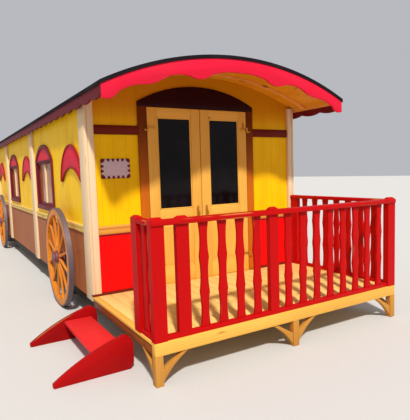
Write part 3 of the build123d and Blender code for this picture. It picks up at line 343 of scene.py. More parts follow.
def pane_glass(name, colour, haze, mirror):
    """Glass with nothing lit behind it, a little dusty."""
    fixed = {"IOR": 1.5, "Specular IOR Level": mirror, "Coat Weight": 0.04, "Coat Roughness": 0.03}
    finish = Finish(name, fixed)
    dust = finish.noise(finish.spot(), 5.0, 4.0)
    glass = finish.blend(finish.step(dust, 0.4, 0.8) * 0.5, colour, haze)
    return finish.made(glass, 0.06 + dust * 0.12)


def enamel():
    """Pale enamel, blank, with a faint mottle."""
    finish = Finish("pale_enamel", {"Coat Weight": 0.4, "Coat Roughness": 0.1})
    mottle = finish.noise(finish.spot(), 24.0, 3.0)
    colour = finish.blend(mottle, (210, 184, 190), (193, 166, 175))
    return finish.made(colour, 0.28 + mottle * 0.2, mottle, 0.0006, 0.4)


roof_felt = roofing_felt()
door_glass = pane_glass("dark_door_glass", (8, 4, 6), (22, 16, 22), 0.15)
window_glass = pane_glass("smoked_window_glass", (158, 88, 36), (168, 110, 62), 0.2)
plate_enamel = enamel()


def facing(axis, u, v, depth):
    """Point at depth on the X or Y axis, u across and v up."""
    return Vector((depth, u, v) if axis == "x" else (u, depth, v))


def rectangle(u, v):
    """Corners between two limits each way, round from the low ones."""
    return [(u[0], v[0]), (u[1], v[0]), (u[1], v[1]), (u[0], v[1])]


def hoop(middle, side, up, radius, steps):
    """Ring of points round a middle."""
    turns = [2 * pi * step / steps for step in range(steps)]
    return [middle + (side * cos(a) + up * sin(a)) * radius for a in turns]


def arc(start, middle, end, steps):
    """Points of the arc through three points, from its start to its end."""
    first, second, third = complex(*start), complex(*middle), complex(*end)
    slant = (third - first) / (second - first)
    centre = first + (second - first) * (slant - abs(slant) ** 2) / (2j * slant.imag)
    spoke = first - centre
    halfway, last = (phase((point - centre) / spoke) % (2 * pi) for point in (second, third))
    if halfway > last:
        last -= 2 * pi
    points = [centre + spoke * rect(1, last * index / steps) for index in range(1, steps + 1)]
    return [start] + [(point.real, point.imag) for point in points]


def scooped(low, high, count, depth, cuts=10):
    """Run and depth of cut along an edge sawn in equal scoops."""
    edge = []
    for index in range(count * cuts + 1):
        share = index % cuts / cuts
        edge.append((low + (high - low) * index / (count * cuts), 4 * depth * share * (1 - share)))
    return edge


def roof_at(x, depth=0.0):
    """Height of the roof's arc, taken depth below its top, at x from the middle line."""
    return ROOF_TOP - ROOF_RADIUS + sqrt((ROOF_RADIUS - depth) ** 2 - x * x)


class Joinery:
    """Boards, sawn shapes and turnings that make up one piece, each with its own run of grain."""

    chance = Random(11)

    def __init__(self):
        self.points, self.faces = [], []
        self.grain, self.edges = [], []

    def take(self, part, along):
        """Adds a finished part, with its grain along a direction and its eased faces marked."""
        along = Vector(along).normalized()
        across = along.orthogonal().normalized()
        turn = Matrix((along, across, along.cross(across)))
        shift = Vector([self.chance.uniform(0, 40) for _ in range(3)])
        start = len(self.points)
        part.verts.index_update()
        for vert in part.verts:
            self.points.append(vert.co.copy())
            self.grain.append(turn @ vert.co + shift)
        for face in part.faces:
            self.faces.append([start + vert.index for vert in face.verts])
            self.edges += [float(face.material_index)] * len(face.verts)
        part.free()

    def ease(self, part, edges, width):
        """Rounds edges over and marks the new faces."""
        if width:
            eased = bmesh.ops.bevel(
                part, geom=edges, offset=width, segments=2, profile=0.5, affect="EDGES", clamp_overlap=True
            )
            for face in eased["faces"]:
                face.material_index = 1

    def board(self, low, high, ease=0.003, along=None):
        """A squared board between two corners, with its grain along its longest side."""
        pairs = [sorted(pair) for pair in zip(low, high)]
        size = Vector([pair[1] - pair[0] for pair in pairs])
        middle = Vector([(pair[1] + pair[0]) / 2 for pair in pairs])
        part = bmesh.new()
        bmesh.ops.create_cube(part, size=1, matrix=Matrix.LocRotScale(middle, None, size))
        self.ease(part, part.edges[:], ease)
        longest = max(range(3), key=lambda axis: size[axis])
        self.take(part, along or [float(axis == longest) for axis in range(3)])

    def skin(self, rings, along, ease=0.0, loop=False):
        """A part skinned over rings of points, closed at its ends or joined round in a loop."""
        part = bmesh.new()
        rings = [[part.verts.new(point) for point in ring] for ring in rings]
        pairs = list(zip(rings, rings[1:]))
        if loop:
            pairs.append((rings[-1], rings[0]))
        else:
            part.faces.new(rings[0])
            part.faces.new(reversed(rings[-1]))
        rims = part.edges[:]
        for first, second in pairs:
            for index in range(len(first)):
                after = (index + 1) % len(first)
                part.faces.new((first[after], first[index], second[index], second[after]))
        bmesh.ops.recalc_face_normals(part, faces=part.faces)
        self.ease(part, rims, ease)
        self.take(part, along)

    def sawn(self, outline, axis, near, far, ease=0.003, along=UPRIGHT):
        """A board sawn to an outline, with its two faces at near and far on an axis."""
        rings = [[facing(axis, u, v, depth) for u, v in outline] for depth in (near, far)]
        self.skin(rings, along, ease)

    def turned(self, profile, centre, axis, steps):
        """A turning: run and radius pairs along an axis through centre."""
        axis = Vector(axis).normalized()
        side = axis.orthogonal().normalized()
        up = axis.cross(side)
        rings = [hoop(Vector(centre) + axis * run, side, up, radius, steps) for run, radius in profile]
        self.skin(rings, axis)

    def bead(self, path, radius, flat, loop=False, sides=8):
        """A round bead along a path that lies in a plane square to flat."""
        flat = Vector(flat)
        path = [Vector(point) for point in path]
        rings = []
        for index, point in enumerate(path):
            before = path[index - 1] if index or loop else point
            after = path[(index + 1) % len(path)] if index + 1 < len(path) or loop else point
            side = (after - before).normalized().cross(flat)
            rings.append(hoop(point, flat, side, radius, sides))
        self.skin(rings, path[1] - path[0], loop=loop)

    def dome(self, centre, axis, radius, height):
        """A rounded head, such as a coach bolt's."""
        shares = ((0, 1), (0.45, 0.92), (0.8, 0.65), (1, 0.2))
        self.turned([(height * run, radius * share) for run, share in shares], centre, axis, 12)

    def mesh(self, name, finish):
        mesh = bpy.data.meshes.new(name)
        mesh.from_pydata(self.points, [], self.faces)
        grain = mesh.attributes.new("grain", "FLOAT_VECTOR", "POINT")
        grain.data.foreach_set("vector", [part for run in self.grain for part in run])
        edge = mesh.attributes.new("edge", "FLOAT", "CORNER")
        edge.data.foreach_set("value", self.edges)
        mesh.shade_smooth()
        mesh.set_sharp_from_angle(angle=radians(35))
        mesh.materials.append(finish)
        return mesh

    def piece(self, name, finish, slot, body="wagon", replaces=None):
        set_out(self.mesh(name, finish), name, body, replaces)


def stand(name, data, place):
    """Puts an object in the scene."""
    item = bpy.data.objects.new(name, data)
    bpy.context.scene.collection.objects.link(item)
    item.matrix_world = place
    return item


def set_out(mesh, name, body, replaces, place=Matrix()):
    """Puts a piece on one of the wagon's bodies, in place of a solid if it replaces one."""
    piece = stand(name, mesh, place)
    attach(piece, body)
    if replaces:
        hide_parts(replaces)


def coat(finish, *names):
    """Gives solids that keep their own shape a finish."""
    for name in names:
        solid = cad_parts[name]
        solid.data.materials.clear()
        solid.data.materials.append(finish)


coat(yellow_front, "wall_front")
coat(yellow_side, "wall_rear", "wall_left", "wall_right")
coat(russet_side, "side_lower_panels")
coat(red_panel, "front_lower_panels")
coat(floor_boards, "cabin_floor")
coat(amber_boards, "roof_boards")
coat(roof_felt, "roof_cover")
coat(chassis_paint, "chassis_frame", "drawbar")
coat(axle_iron, "axle_front", "axle_rear")
coat(hinge_brass, "door_hinges")
coat(door_glass, "door_glass_left", "door_glass_right")
coat(window_glass, "window_glass")

# Wheels, made once round an axle along +X that points outwards
WHEEL_RADIUS = 0.600
WHEEL_INSET = 1.1
WHEEL_OUT = 1.451
TYRE = 0.013
TYRE_STEPS = 72
RIM_INNER = 0.510
RIM_HALF = 0.030
BOLT_CIRCLE = 0.549
SPOKES = 12
SPOKE_SIDES = 16
FELLOES = 6
FELLOE_JOINT = 0.002


def rim_section(inner, outer, half, ease):
    """Squared section of a rim, with its corners eased: distance from the axle and place across."""
    near, far, flat = inner + ease, outer - ease, half - ease
    corners = [(inner, -flat), (inner, flat), (near, half), (far, half)]
    return corners + [(outer, flat), (outer, -flat), (far, -half), (near, -half)]


def round_axle(section, first, last, steps):
    """Rings of a section carried round the axle from one angle to another."""
    rings = []
    for index in range(steps + 1):
        angle = first + (last - first) * index / steps
        rings.append([Vector((across, out * sin(angle), out * cos(angle))) for out, across in section])
    return rings


felloes = Joinery()
felloe_section = rim_section(RIM_INNER, WHEEL_RADIUS - TYRE, RIM_HALF - 0.002, 0.007)
for index in range(FELLOES):
    first = 2 * pi * index / FELLOES + FELLOE_JOINT
    last = 2 * pi * (index + 1) / FELLOES - FELLOE_JOINT
    felloes.skin(round_axle(felloe_section, first, last, 10), (0, cos(first), -sin(first)))

# Distance from the axle, width, thickness and squareness of a spoke
SPOKE_STATIONS = (
    (0.080, 0.040, 0.038, 4.0),
    (0.120, 0.042, 0.038, 4.0),
    (0.150, 0.038, 0.034, 2.4),
    (0.250, 0.033, 0.030, 2.0),
    (0.360, 0.030, 0.028, 2.0),
    (0.440, 0.034, 0.030, 2.4),
    (0.480, 0.040, 0.034, 3.2),
    (0.520, 0.040, 0.034, 4.0),
)


def squared_off(value, square):
    """A sine or cosine pushed out towards a square's."""
    return abs(value) ** (2 / square) * (1 if value >= 0 else -1)


spokes = Joinery()
for index in range(SPOKES):
    angle = 2 * pi * (index + 0.5) / SPOKES
    out = Vector((0, sin(angle), cos(angle)))
    side = Vector((0, cos(angle), -sin(angle)))
    rings = []
    for reach, wide, thick, square in SPOKE_STATIONS:
        ring = []
        for step in range(SPOKE_SIDES):
            turn = 2 * pi * step / SPOKE_SIDES
            u, v = squared_off(cos(turn), square), squared_off(sin(turn), square)
            ring.append(out * reach + side * (u * wide / 2) + Vector((v * thick / 2, 0, 0)))
        rings.append(ring)
    spokes.skin(rings, out)

tyre = Joinery()
tyre_section = rim_section(WHEEL_RADIUS - TYRE, WHEEL_RADIUS, RIM_HALF, 0.003)
last_step = TYRE_STEPS - 1
tyre.skin(round_axle(tyre_section, 0, 2 * pi * last_step / TYRE_STEPS, last_step), ALONG_Y, loop=True)
for index in range(SPOKES):
    angle = 2 * pi * index / SPOKES
    out = Vector((0, sin(angle), cos(angle)))
    for side in (-1, 1):
        bolt = out * BOLT_CIRCLE + Vector((side * (RIM_HALF - 0.002), 0, 0))
        tyre.dome(bolt, (side, 0, 0), 0.007, 0.002)

# Nave, its two iron bands and its bolted cap: run along the axle and radius
NAVE_BACK = ((-0.066, 0.058), (-0.062, 0.064), (-0.040, 0.068), (-0.034, 0.076), (-0.022, 0.084))
NAVE_BELLY = ((-0.012, 0.089), (0.012, 0.089))
NAVE_FRONT = ((0.020, 0.082), (0.026, 0.070), (0.034, 0.066), (0.048, 0.060), (0.056, 0.052))
CAP_PROFILE = ((0.050, 0.050), (0.060, 0.050), (0.064, 0.046), (0.074, 0.040), (0.080, 0.026), (0.082, 0.010))
CAP_BOLTS = 6
NAVE_STEPS = 48
nave = Joinery()
nave.turned(NAVE_BACK + NAVE_BELLY + NAVE_FRONT, (0, 0, 0), ALONG_X, NAVE_STEPS)
bands = Joinery()
for low, high, radius in ((-0.058, -0.042, 0.070), (0.028, 0.040, 0.069)):
    band = [(low, radius - 0.004), (low, radius), (high, radius), (high, radius - 0.004)]
    bands.turned(band, (0, 0, 0), ALONG_X, NAVE_STEPS)
bands.turned(CAP_PROFILE, (0, 0, 0), ALONG_X, NAVE_STEPS)
for index in range(CAP_BOLTS):
    angle = 2 * pi * index / CAP_BOLTS
    bands.dome(Vector((0.060, 0.041 * sin(angle), 0.041 * cos(angle))), ALONG_X, 0.005, 0.006)

wheel_pieces = (
    ("felloes", felloes.mesh("felloes", wheel_varnish), "wheel_wood"),
    ("spokes", spokes.mesh("spokes", wheel_varnish), "wheel_wood"),
    ("tyre", tyre.mesh("tyre", tyre_iron), "iron"),
    ("nave", nave.mesh("nave", nave_maroon), "wheel_wood"),
    ("nave_bands", bands.mesh("nave_bands", tyre_iron), "iron"),
)
for end, y in (("front", FRONT + WHEEL_INSET), ("rear", REAR - WHEEL_INSET)):
    for hand, side in (("left", -1), ("right", 1)):
        turn = Matrix.Rotation(0 if side > 0 else pi, 4, "Z")
        place = Matrix.Translation((MID + side * WHEEL_OUT, y, WHEEL_RADIUS)) @ turn
        wheel = f"wheel_{end}_{hand}"
        for part, mesh, slot in wheel_pieces:
            set_out(mesh, f"{part}_{end}_{hand}", wheel, wheel if part == "felloes" else None, place)

# Cabin posts, cased round the corners, with a bead worked on each edge beside a sunk quirk
BEAD = 0.029
QUIRK = 0.005
HIDDEN = 0.002
side_top = roof_at(HALF, SOFFIT)
posts = Joinery()


def upright(x, y, ease=0.003):
    """A board between two limits each way, as high as the posts."""
    posts.board((x[0], y[0], BODY_LOW), (x[1], y[1], side_top), ease)


for side in (-1, 1):
    outer, face, inner = MID + side * HALF, MID + side * PANEL, MID + side * CORNER
    sunk = outer - side * QUIRK
    for low, high in SIDE_POSTS:
        upright((face, sunk), (low + HIDDEN, high - HIDDEN), 0)
        for edge, toward in ((low, 1), (high, -1)):
            upright((face, outer), (edge, edge + toward * BEAD), 0.007)
        upright((face, outer), (low + BEAD + QUIRK, high - BEAD - QUIRK))
    for corner, panel, toward in ((FRONT, FRONT_PANEL, 1), (REAR, REAR_PANEL, -1)):
        far = corner + toward * POST_SIDE
        bead_in, bead_back = outer - side * BEAD, corner + toward * BEAD
        upright((face, sunk), (corner + toward * 0.01, far - toward * HIDDEN), 0)
        upright((inner + side * HIDDEN, face), (corner + toward * QUIRK, panel), 0)
        upright((bead_in, outer), (corner, bead_back), 0.009)
        upright((inner, bead_in - side * QUIRK), (corner, panel))
        upright((face, outer), (bead_back + toward * QUIRK, far))
posts.piece("corner_and_side_posts", cream_pine, "cream_timber", replaces="cabin_posts")

# Belt mouldings, with a thin red bead under them
BELT_LOW = 0.960
# How far the belt stands proud and its rise: a cove below, a flat and a rounded nose above
BELT_FOOT = ((0.000, 0.000), (0.010, 0.000), (0.016, 0.010), (0.018, 0.022))
BELT_NOSE = ((0.018, 0.060), (0.025, 0.064), (0.025, 0.082), (0.019, 0.090), (0.000, 0.090))
BELT_BEAD = 0.006
BELT_BEAD_PROUD = 0.014
bay_ends = (FRONT + POST_SIDE, *SIDE_POSTS[0], *SIDE_POSTS[1], REAR - POST_SIDE)


def belt_on(face, way):
    """The belt's section against a panel's face, on the way out from it."""
    return [(face + way * proud, BELT_LOW + rise) for proud, rise in BELT_FOOT + BELT_NOSE]


belts, side_belts, under_beads = Joinery(), Joinery(), Joinery()
for side in (-1, 1):
    for low, high in zip(bay_ends[0::2], bay_ends[1::2]):
        side_belts.sawn(belt_on(MID + side * PANEL, side), "y", low, high, 0, ALONG_Y)
        bead = [(MID + side * (PANEL + BELT_BEAD_PROUD), y, BELT_LOW - BELT_BEAD) for y in (low, high)]
        under_beads.bead(bead, BELT_BEAD, ALONG_X)
    ends = (MID + side * CORNER, DOOR_MID + side * CASING_HALF)
    belts.sawn(belt_on(FRONT_PANEL, -1), "x", *ends, 0, ALONG_X)
    bead = [(x, FRONT_PANEL - BELT_BEAD_PROUD, BELT_LOW - BELT_BEAD) for x in ends]
    under_beads.bead(bead, BELT_BEAD, ALONG_Y)
side_belts.sawn(belt_on(REAR_PANEL, 1), "x", MID - CORNER, MID + CORNER, 0, ALONG_X)
belts.piece("belt_mouldings", belt_pine, "pine", replaces="belt_strips")
side_belts.piece("side_belt_mouldings", pale_belt_pine, "pine")
under_beads.piece("belt_beads", maroon, "maroon_paint")

# Brown bands either side of the door head, each with a raised middle
BAND_MARGIN = 0.018
head_bands = Joinery()
band_low, band_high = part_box("front_bands")
for side in (-1, 1):
    for proud, margin, ease in ((0.006, 0, 0.003), (0, BAND_MARGIN, 0.006)):
        head_bands.board(
            (DOOR_MID + side * CASING_HALF, band_low.y + proud, band_low.z + margin),
            (MID + side * CORNER, FRONT_PANEL, band_high.z - margin),
            ease,
        )
head_bands.piece("head_bands", chocolate, "dark_brown_paint", replaces="front_bands")

# Scalloped bargeboards: each arc's mid point and end point from the middle out,
# as share of the half width and depth below the roof's line
BARGE_MIDDLE = 0.160
BARGE_ARCS = (
    (0.133, 0.163, 0.230, 0.185),
    (0.314, 0.222, 0.398, 0.185),
    (0.489, 0.156, 0.587, 0.166),
    (0.670, 0.186, 0.747, 0.166),
    (0.824, 0.152, 0.901, 0.166),
    (0.950, 0.188, 1.000, 0.150),
)
for name, near in (("front", ROOF_LOW.y + COVER), ("rear", ROOF_HIGH.y - COVER - TRIM)):
    lower = [(MID, ROOF_TOP - BARGE_MIDDLE)]
    for mid_share, mid_depth, end_share, end_depth in BARGE_ARCS:
        mid_x, end_x = mid_share * EAVE, end_share * EAVE
        middle = (MID + mid_x, roof_at(mid_x) - mid_depth)
        lower += arc(lower[-1], middle, (MID + end_x, roof_at(end_x) - end_depth), 10)[1:]
    shares = [1 - index / 24 for index in range(49)]
    top = [(MID + EAVE * share, roof_at(EAVE * share, COVER)) for share in shares]
    left = [(2 * MID - x, z) for x, z in reversed(lower[1:])]
    board = Joinery()
    board.sawn(lower + top + left, "y", near, near + TRIM, 0.004, ALONG_X)
    board.piece(f"bargeboard_scallops_{name}", rose, "pink_red_paint", replaces=f"bargeboard_{name}")

# Scalloped fascias along the eaves
SCALLOP = 0.310
SCALLOP_DEPTH = 0.026
fascias = Joinery()
fascia_low, fascia_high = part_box("eave_fascias")
scallop_count = round((fascia_high.y - fascia_low.y) / SCALLOP)
for side in (-1, 1):
    outer = MID + side * EAVE
    edge = scooped(fascia_low.y, fascia_high.y, scallop_count, SCALLOP_DEPTH)
    lower = [(run, fascia_low.z + SCALLOP_DEPTH - cut) for run, cut in edge]
    outline = lower + [(fascia_high.y, fascia_high.z), (fascia_low.y, fascia_high.z)]
    fascias.sawn(outline, "x", outer, outer - side * TRIM, along=ALONG_Y)
fascias.piece("eave_scallops", maroon, "maroon_paint", replaces="eave_fascias")

# Under the roof: coves along the eaves, bows across the overhangs, and a dark strip at the front panels' foot
# that is a painted shadow line
BOW_HALF = 1.372
BOW_TOP, BOW_FOOT = 0.036, 0.072
BOW_THICK = 0.034
BOW_PLACES = (FRONT - 0.215, REAR + 0.150)
trims, bows, foot_shadow_strips = Joinery(), Joinery(), Joinery()
cove_edge = EAVE - TRIM
for side in (-1, 1):
    soffit = roof_at(cove_edge, SOFFIT)
    outer = MID + side * cove_edge
    section = [(outer, soffit - 0.030), (outer, soffit + 0.006)]
    inner = (outer - side * 0.026, soffit + 0.014)
    section += arc(inner, (outer - side * 0.010, soffit - 0.008), section[0], 6)[:-1]
    trims.sawn(section, "y", fascia_low.y, fascia_high.y, 0, ALONG_Y)
for y in BOW_PLACES:
    spots = [BOW_HALF * (1 - index / 20) for index in range(41)]
    bow = [(MID + x, roof_at(x, BOW_TOP)) for x in spots]
    bow += [(MID + x, roof_at(x, BOW_FOOT)) for x in reversed(spots)]
    bows.sawn(bow, "y", y, y + BOW_THICK, 0.004, ALONG_X)
# Dark strips at the front panels' foot: painted shadow where the panels meet the deck
for side in (-1, 1):
    low, high = (MID + side * HALF, FRONT - 0.006), (DOOR_MID + side * CASING_HALF, FRONT_PANEL)
    foot_shadow_strips.board((*low, DECK_TOP), (*high, DECK_TOP + 0.023))
trims.piece("eave_coves", amber_trim, "pine")
bows.piece("overhang_bows", amber_trim, "pine")
foot_shadow_strips.piece("front_foot_shadow_strips", chocolate, "dark_brown_paint")

# Door casing and the arched panel over the doors
SHOULDER, CROWN = DOORWAY_TOP + 0.050, DOORWAY_TOP + 0.245
casing, tympanum = Joinery(), Joinery()
leaf_face = casing_low.y
for side in (-1, 1):
    inner, outer = DOOR_MID + side * DOORWAY, DOOR_MID + side * CASING_HALF
    casing.board((inner, leaf_face, casing_low.z), (outer, FRONT_PANEL, DOORWAY_TOP), 0.004)
left, right = DOOR_MID - CASING_HALF, DOOR_MID + CASING_HALF
head = [(left, DOORWAY_TOP), (right, DOORWAY_TOP)]
head += arc((right, SHOULDER), (DOOR_MID, CROWN), (left, SHOULDER), 32)
tympanum.sawn(head, "y", leaf_face, FRONT_PANEL, 0.004, ALONG_X)
casing.piece("door_surround", umber, "dark_brown_paint", replaces="door_casing")
tympanum.piece("door_tympanum", dark_maroon, "dark_brown_paint")

# Rebated sill that closes the gap between the deck and the doorway, under the leaves
sill_section = (
    (FRONT + 0.001, DECK_TOP - 0.030),
    (FRONT_PANEL, DECK_TOP - 0.030),
    (FRONT_PANEL, DECK_TOP - 0.001),
    (FRONT_PANEL + WALL, DECK_TOP - 0.001),
    (FRONT_PANEL + WALL, DECK_TOP + 0.003),
    (FRONT + 0.001, DECK_TOP + 0.003),
)
sill = Joinery()
sill.sawn(sill_section, "x", DOOR_MID - DOORWAY, DOOR_MID + DOORWAY, 0.001, ALONG_X)
sill.piece("door_sill", door_pine, "pine")

# Doors: framed leaves with glazing beads, raised panels, strap hinges and a pull
LEAF_OUTER, LEAF_INNER = 0.653, 0.004
LEAF_LOW, LEAF_HIGH = 0.341, 2.287
LEAF_THICK = 0.045
STILE = 0.116
LIGHT = (1.172, LEAF_HIGH - 0.104)
LEAF_PANEL = (LEAF_LOW + 0.170, 1.022)
RAIL_SET_BACK = 0.0015
GLAZING_BEAD = 0.014
BEAD_FRONT, BEAD_BACK = leaf_face + 0.006, leaf_face + 0.017
HINGE_PIN = 0.656
HINGE_HEIGHTS = (0.555, 2.073)
STRAP_REACH = 0.100
STRAP_FACE = leaf_face - 0.006
STRAP_DOMES = (0.028, 0.056, 0.080)
PULL_FROM_EDGE = 0.055
leaf_back = leaf_face + LEAF_THICK
for name, side in (("left", -1), ("right", 1)):
    leaf = Joinery()
    outer, inner = DOOR_MID + side * LEAF_OUTER, DOOR_MID + side * LEAF_INNER
    hung, free = outer - side * STILE, inner + side * STILE
    for edge, stile in ((outer, hung), (inner, free)):
        leaf.board((edge, leaf_face, LEAF_LOW), (stile, leaf_back, LEAF_HIGH), 0.004)
    for low, high in ((LIGHT[1], LEAF_HIGH), (LEAF_PANEL[1], LIGHT[0]), (LEAF_LOW, LEAF_PANEL[0])):
        near, far = leaf_face + RAIL_SET_BACK, leaf_back - RAIL_SET_BACK
        leaf.board((hung, near, low), (free, far, high), along=ALONG_X)
    for low, high in (LIGHT, LEAF_PANEL):
        for x, toward in ((hung, -side), (free, side)):
            leaf.board((x, BEAD_FRONT, low), (x + toward * GLAZING_BEAD, BEAD_BACK, high), 0.004)
        for z, toward in ((low, 1), (high, -1)):
            leaf.board((hung, BEAD_FRONT, z), (free, BEAD_BACK, z + toward * GLAZING_BEAD), 0.004, ALONG_X)
    leaf.board((hung, leaf_face + 0.018, LEAF_PANEL[0]), (free, leaf_face + 0.030, LEAF_PANEL[1]), 0)
    rings = []
    for inset, depth in ((0.028, 0.018), (0.050, 0.008), (0.056, 0.008)):
        width = sorted((hung - side * inset, free + side * inset))
        field = rectangle(width, (LEAF_PANEL[0] + inset, LEAF_PANEL[1] - inset))
        rings.append([facing("y", x, z, leaf_face + depth) for x, z in field])
    leaf.skin(rings, UPRIGHT)
    leaf.piece(f"leaf_{name}", door_pine, "pine", f"door_{name}", f"door_{name}")
    straps = Joinery()
    pin_x = DOOR_MID + side * HINGE_PIN
    for height in HINGE_HEIGHTS:
        tip = pin_x - side * STRAP_REACH
        lower = [(pin_x, -0.017), (tip + side * 0.030, -0.012), (tip + side * 0.025, -0.019)]
        arrow = lower + [(tip, 0)] + [(x, -drop) for x, drop in reversed(lower)]
        outline = [(x, height + rise) for x, rise in arrow]
        straps.sawn(outline, "y", STRAP_FACE, leaf_face, 0.0015, ALONG_X)
        barrel = [(-0.021, 0.009), (-0.020, 0.010), (0.020, 0.010), (0.021, 0.009)]
        straps.turned(barrel, (pin_x, FRONT - 0.001, height), UPRIGHT, 20)
        for reach in STRAP_DOMES:
            straps.dome((pin_x - side * reach, STRAP_FACE, height), (0, -1, 0), 0.005, 0.004)
    grip = inner + side * PULL_FROM_EDGE
    straps.board((grip - 0.018, leaf_face - 0.004, 1.020), (grip + 0.018, leaf_face, 1.190), 0.002)
    bow = arc((leaf_face, 1.165), (leaf_face - 0.042, 1.110), (leaf_face, 1.055), 14)
    straps.bead([(grip, y, z) for y, z in bow], 0.006, ALONG_X, sides=10)
    straps.dome((grip, leaf_face - 0.004, 1.036), (0, -1, 0), 0.006, 0.004)
    straps.piece(f"strap_hinges_and_pull_{name}", hinge_brass, "brass", f"door_{name}")

# Windows: arched casing with a sunk head, sill, sashes and a pale upright bar
WINDOW_HALF = 0.500
WINDOW_PLACES = (2.21, 5.11)
SILL, SPRING, RISE = 1.160, 1.800, 0.170
CASE = 0.060
CASE_PROUD = 0.026
LAP = 0.012
SASH = 0.045
SASH_DEPTH = 0.050
BAR_HALF = 0.018
ARCH_STEPS = 28
window_frames, window_heads, window_bars = Joinery(), Joinery(), Joinery()


def window(middle, axis, face, way):
    """One window on a wall: its middle, the axis it faces and the way out from the wall's face."""
    front = face + way * CASE_PROUD
    sash_back = face - way * SASH_DEPTH
    low, high = middle - WINDOW_HALF, middle + WINDOW_HALF
    across = ALONG_Y if axis == "x" else ALONG_X

    def plank(u, v, near, far, ease, along, joinery=window_frames):
        joinery.sawn(rectangle(u, v), axis, near, far, ease, along)

    for inner, outer in ((low + LAP, low - CASE), (high - LAP, high + CASE)):
        plank(sorted((inner, outer)), (SILL - LAP, SPRING), face, front - way * 0.004, 0.004, UPRIGHT)
    plank((low - CASE, high + CASE), (SILL - CASE, SILL + LAP), face, front, 0.006, across)
    plank((low + LAP, high - LAP), (SPRING - LAP, SPRING + LAP), face, front - way * 0.006, 0.003, across)
    arch = arc((high + CASE, SPRING), (middle, SPRING + RISE + CASE), (low - CASE, SPRING), ARCH_STEPS)
    arch += arc((low + LAP, SPRING), (middle, SPRING + RISE), (high - LAP, SPRING), ARCH_STEPS)
    window_frames.sawn(arch, axis, face, front, 0.004, across)
    foot = (low + 0.004, SPRING)
    field = [foot, *arc((high - 0.004, SPRING), (middle, SPRING + RISE + 0.004), foot, ARCH_STEPS)]
    window_heads.sawn(field[:-1], axis, face, face + way * 0.012, 0, across)
    for u in ((low, low + SASH), (high - SASH, high)):
        plank(u, (SILL, SPRING), sash_back, face, 0.004, UPRIGHT)
    for v in ((SILL, SILL + SASH), (SPRING - SASH, SPRING)):
        plank((low + SASH, high - SASH), v, sash_back, face - way * 0.001, 0.004, across)
    bar = (middle - BAR_HALF, middle + BAR_HALF)
    plank(bar, (SILL + SASH, SPRING - SASH), sash_back, face, 0.005, UPRIGHT, window_bars)


for side in (-1, 1):
    for place in WINDOW_PLACES:
        window(FRONT + place, "x", MID + side * PANEL, side)
window(MID, "y", REAR_PANEL, 1)
window_frames.piece("window_casings", maroon, "maroon_paint", replaces="window_frames")
window_heads.piece("window_head_fields", rose, "pink_red_paint")
window_bars.piece("window_bars", cream_pine, "cream_timber")

# Crescents: a rose field inside a dark red bead
CRESCENT_PLACES = (0.71, 3.61, 6.99)
CRESCENT_TIP = 1.515
# Reach of the tips, height of the arc and its number of steps. The inner arc goes back
CRESCENT_OUTER, CRESCENT_INNER = (0.465, 1.930, 36), (-0.415, 1.672, 30)
CRESCENT_HEART = 1.70
RIM_IN = 0.018
crescent_fields, crescent_beads = Joinery(), Joinery()
for side in (-1, 1):
    face = MID + side * PANEL
    front = face + side * 0.015
    for place in CRESCENT_PLACES:
        middle = FRONT + place
        outline = []
        for reach, top, steps in (CRESCENT_OUTER, CRESCENT_INNER):
            tips = [(middle + way * reach, CRESCENT_TIP) for way in (1, -1)]
            outline += arc(tips[0], (middle, top), tips[1], steps)
        crescent_fields.sawn(outline, "x", face, front, along=ALONG_Y)
        rim = [(front, u + (middle - u) * RIM_IN, v + (CRESCENT_HEART - v) * RIM_IN) for u, v in outline]
        crescent_beads.bead(rim, 0.012, ALONG_X, loop=True)
crescent_fields.piece("crescent_fields", rose, "pink_red_paint", replaces="crescents")
crescent_beads.piece("crescent_beads", oxblood, "maroon_paint")

# Blank sign plate: pale enamel on a scalloped maroon back plate
TOOTH_PITCH = 0.055
TOOTH_HALF = 0.014
SIGN_SCALLOP = 0.008
SIGN_INSET = 0.030
sign_low, sign_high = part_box("sign_plate")
sign_front = sign_high.y - 0.007
sign_back, sign_face = Joinery(), Joinery()
corners = rectangle((sign_low.x, sign_high.x), (sign_low.z, sign_high.z))
outline = []
for (u1, v1), (u2, v2) in zip(corners, corners[1:] + corners[:1]):
    count = round((abs(u2 - u1) + abs(v2 - v1)) / TOOTH_PITCH)
    outward = Vector((v2 - v1, u1 - u2)).normalized()
    for run, cut in scooped(0, 1, count, SIGN_SCALLOP, 6)[:-1]:
        point = Vector((u1 + (u2 - u1) * run, v1 + (v2 - v1) * run))
        outline.append(point - outward * (SIGN_SCALLOP - cut))
sign_back.sawn(outline, "y", sign_high.y, sign_front, 0.001, ALONG_X)
plate_width = (sign_low.x + SIGN_INSET, sign_high.x - SIGN_INSET)
plate = rectangle(plate_width, (sign_low.z + SIGN_INSET, sign_high.z - SIGN_INSET))
sign_face.sawn(plate, "y", sign_front, sign_front - 0.0045, 0.002, ALONG_X)
for (u1, v1), (u2, v2) in zip(plate, plate[1:] + plate[:1]):
    side_run = Vector((u2 - u1, v2 - v1))
    count = round(side_run.length / TOOTH_PITCH)
    along = side_run.normalized()
    outward = Vector((along.y, -along.x))
    for index in range(count):
        root = Vector((u1, v1)) + side_run * ((index + 0.5) / count)
        left, right = root - along * TOOTH_HALF, root + along * TOOTH_HALF
        lobe = arc(right + outward * 0.010, root + outward * 0.024, left + outward * 0.010, 8)
        sign_face.sawn([left, right, *lobe], "y", sign_front, sign_front - 0.003, 0.001, ALONG_X)
sign_back.piece("sign_back_plate", maroon, "maroon_paint", replaces="sign_plate")
sign_face.piece("sign_enamel_face", plate_enamel, "sign_enamel")

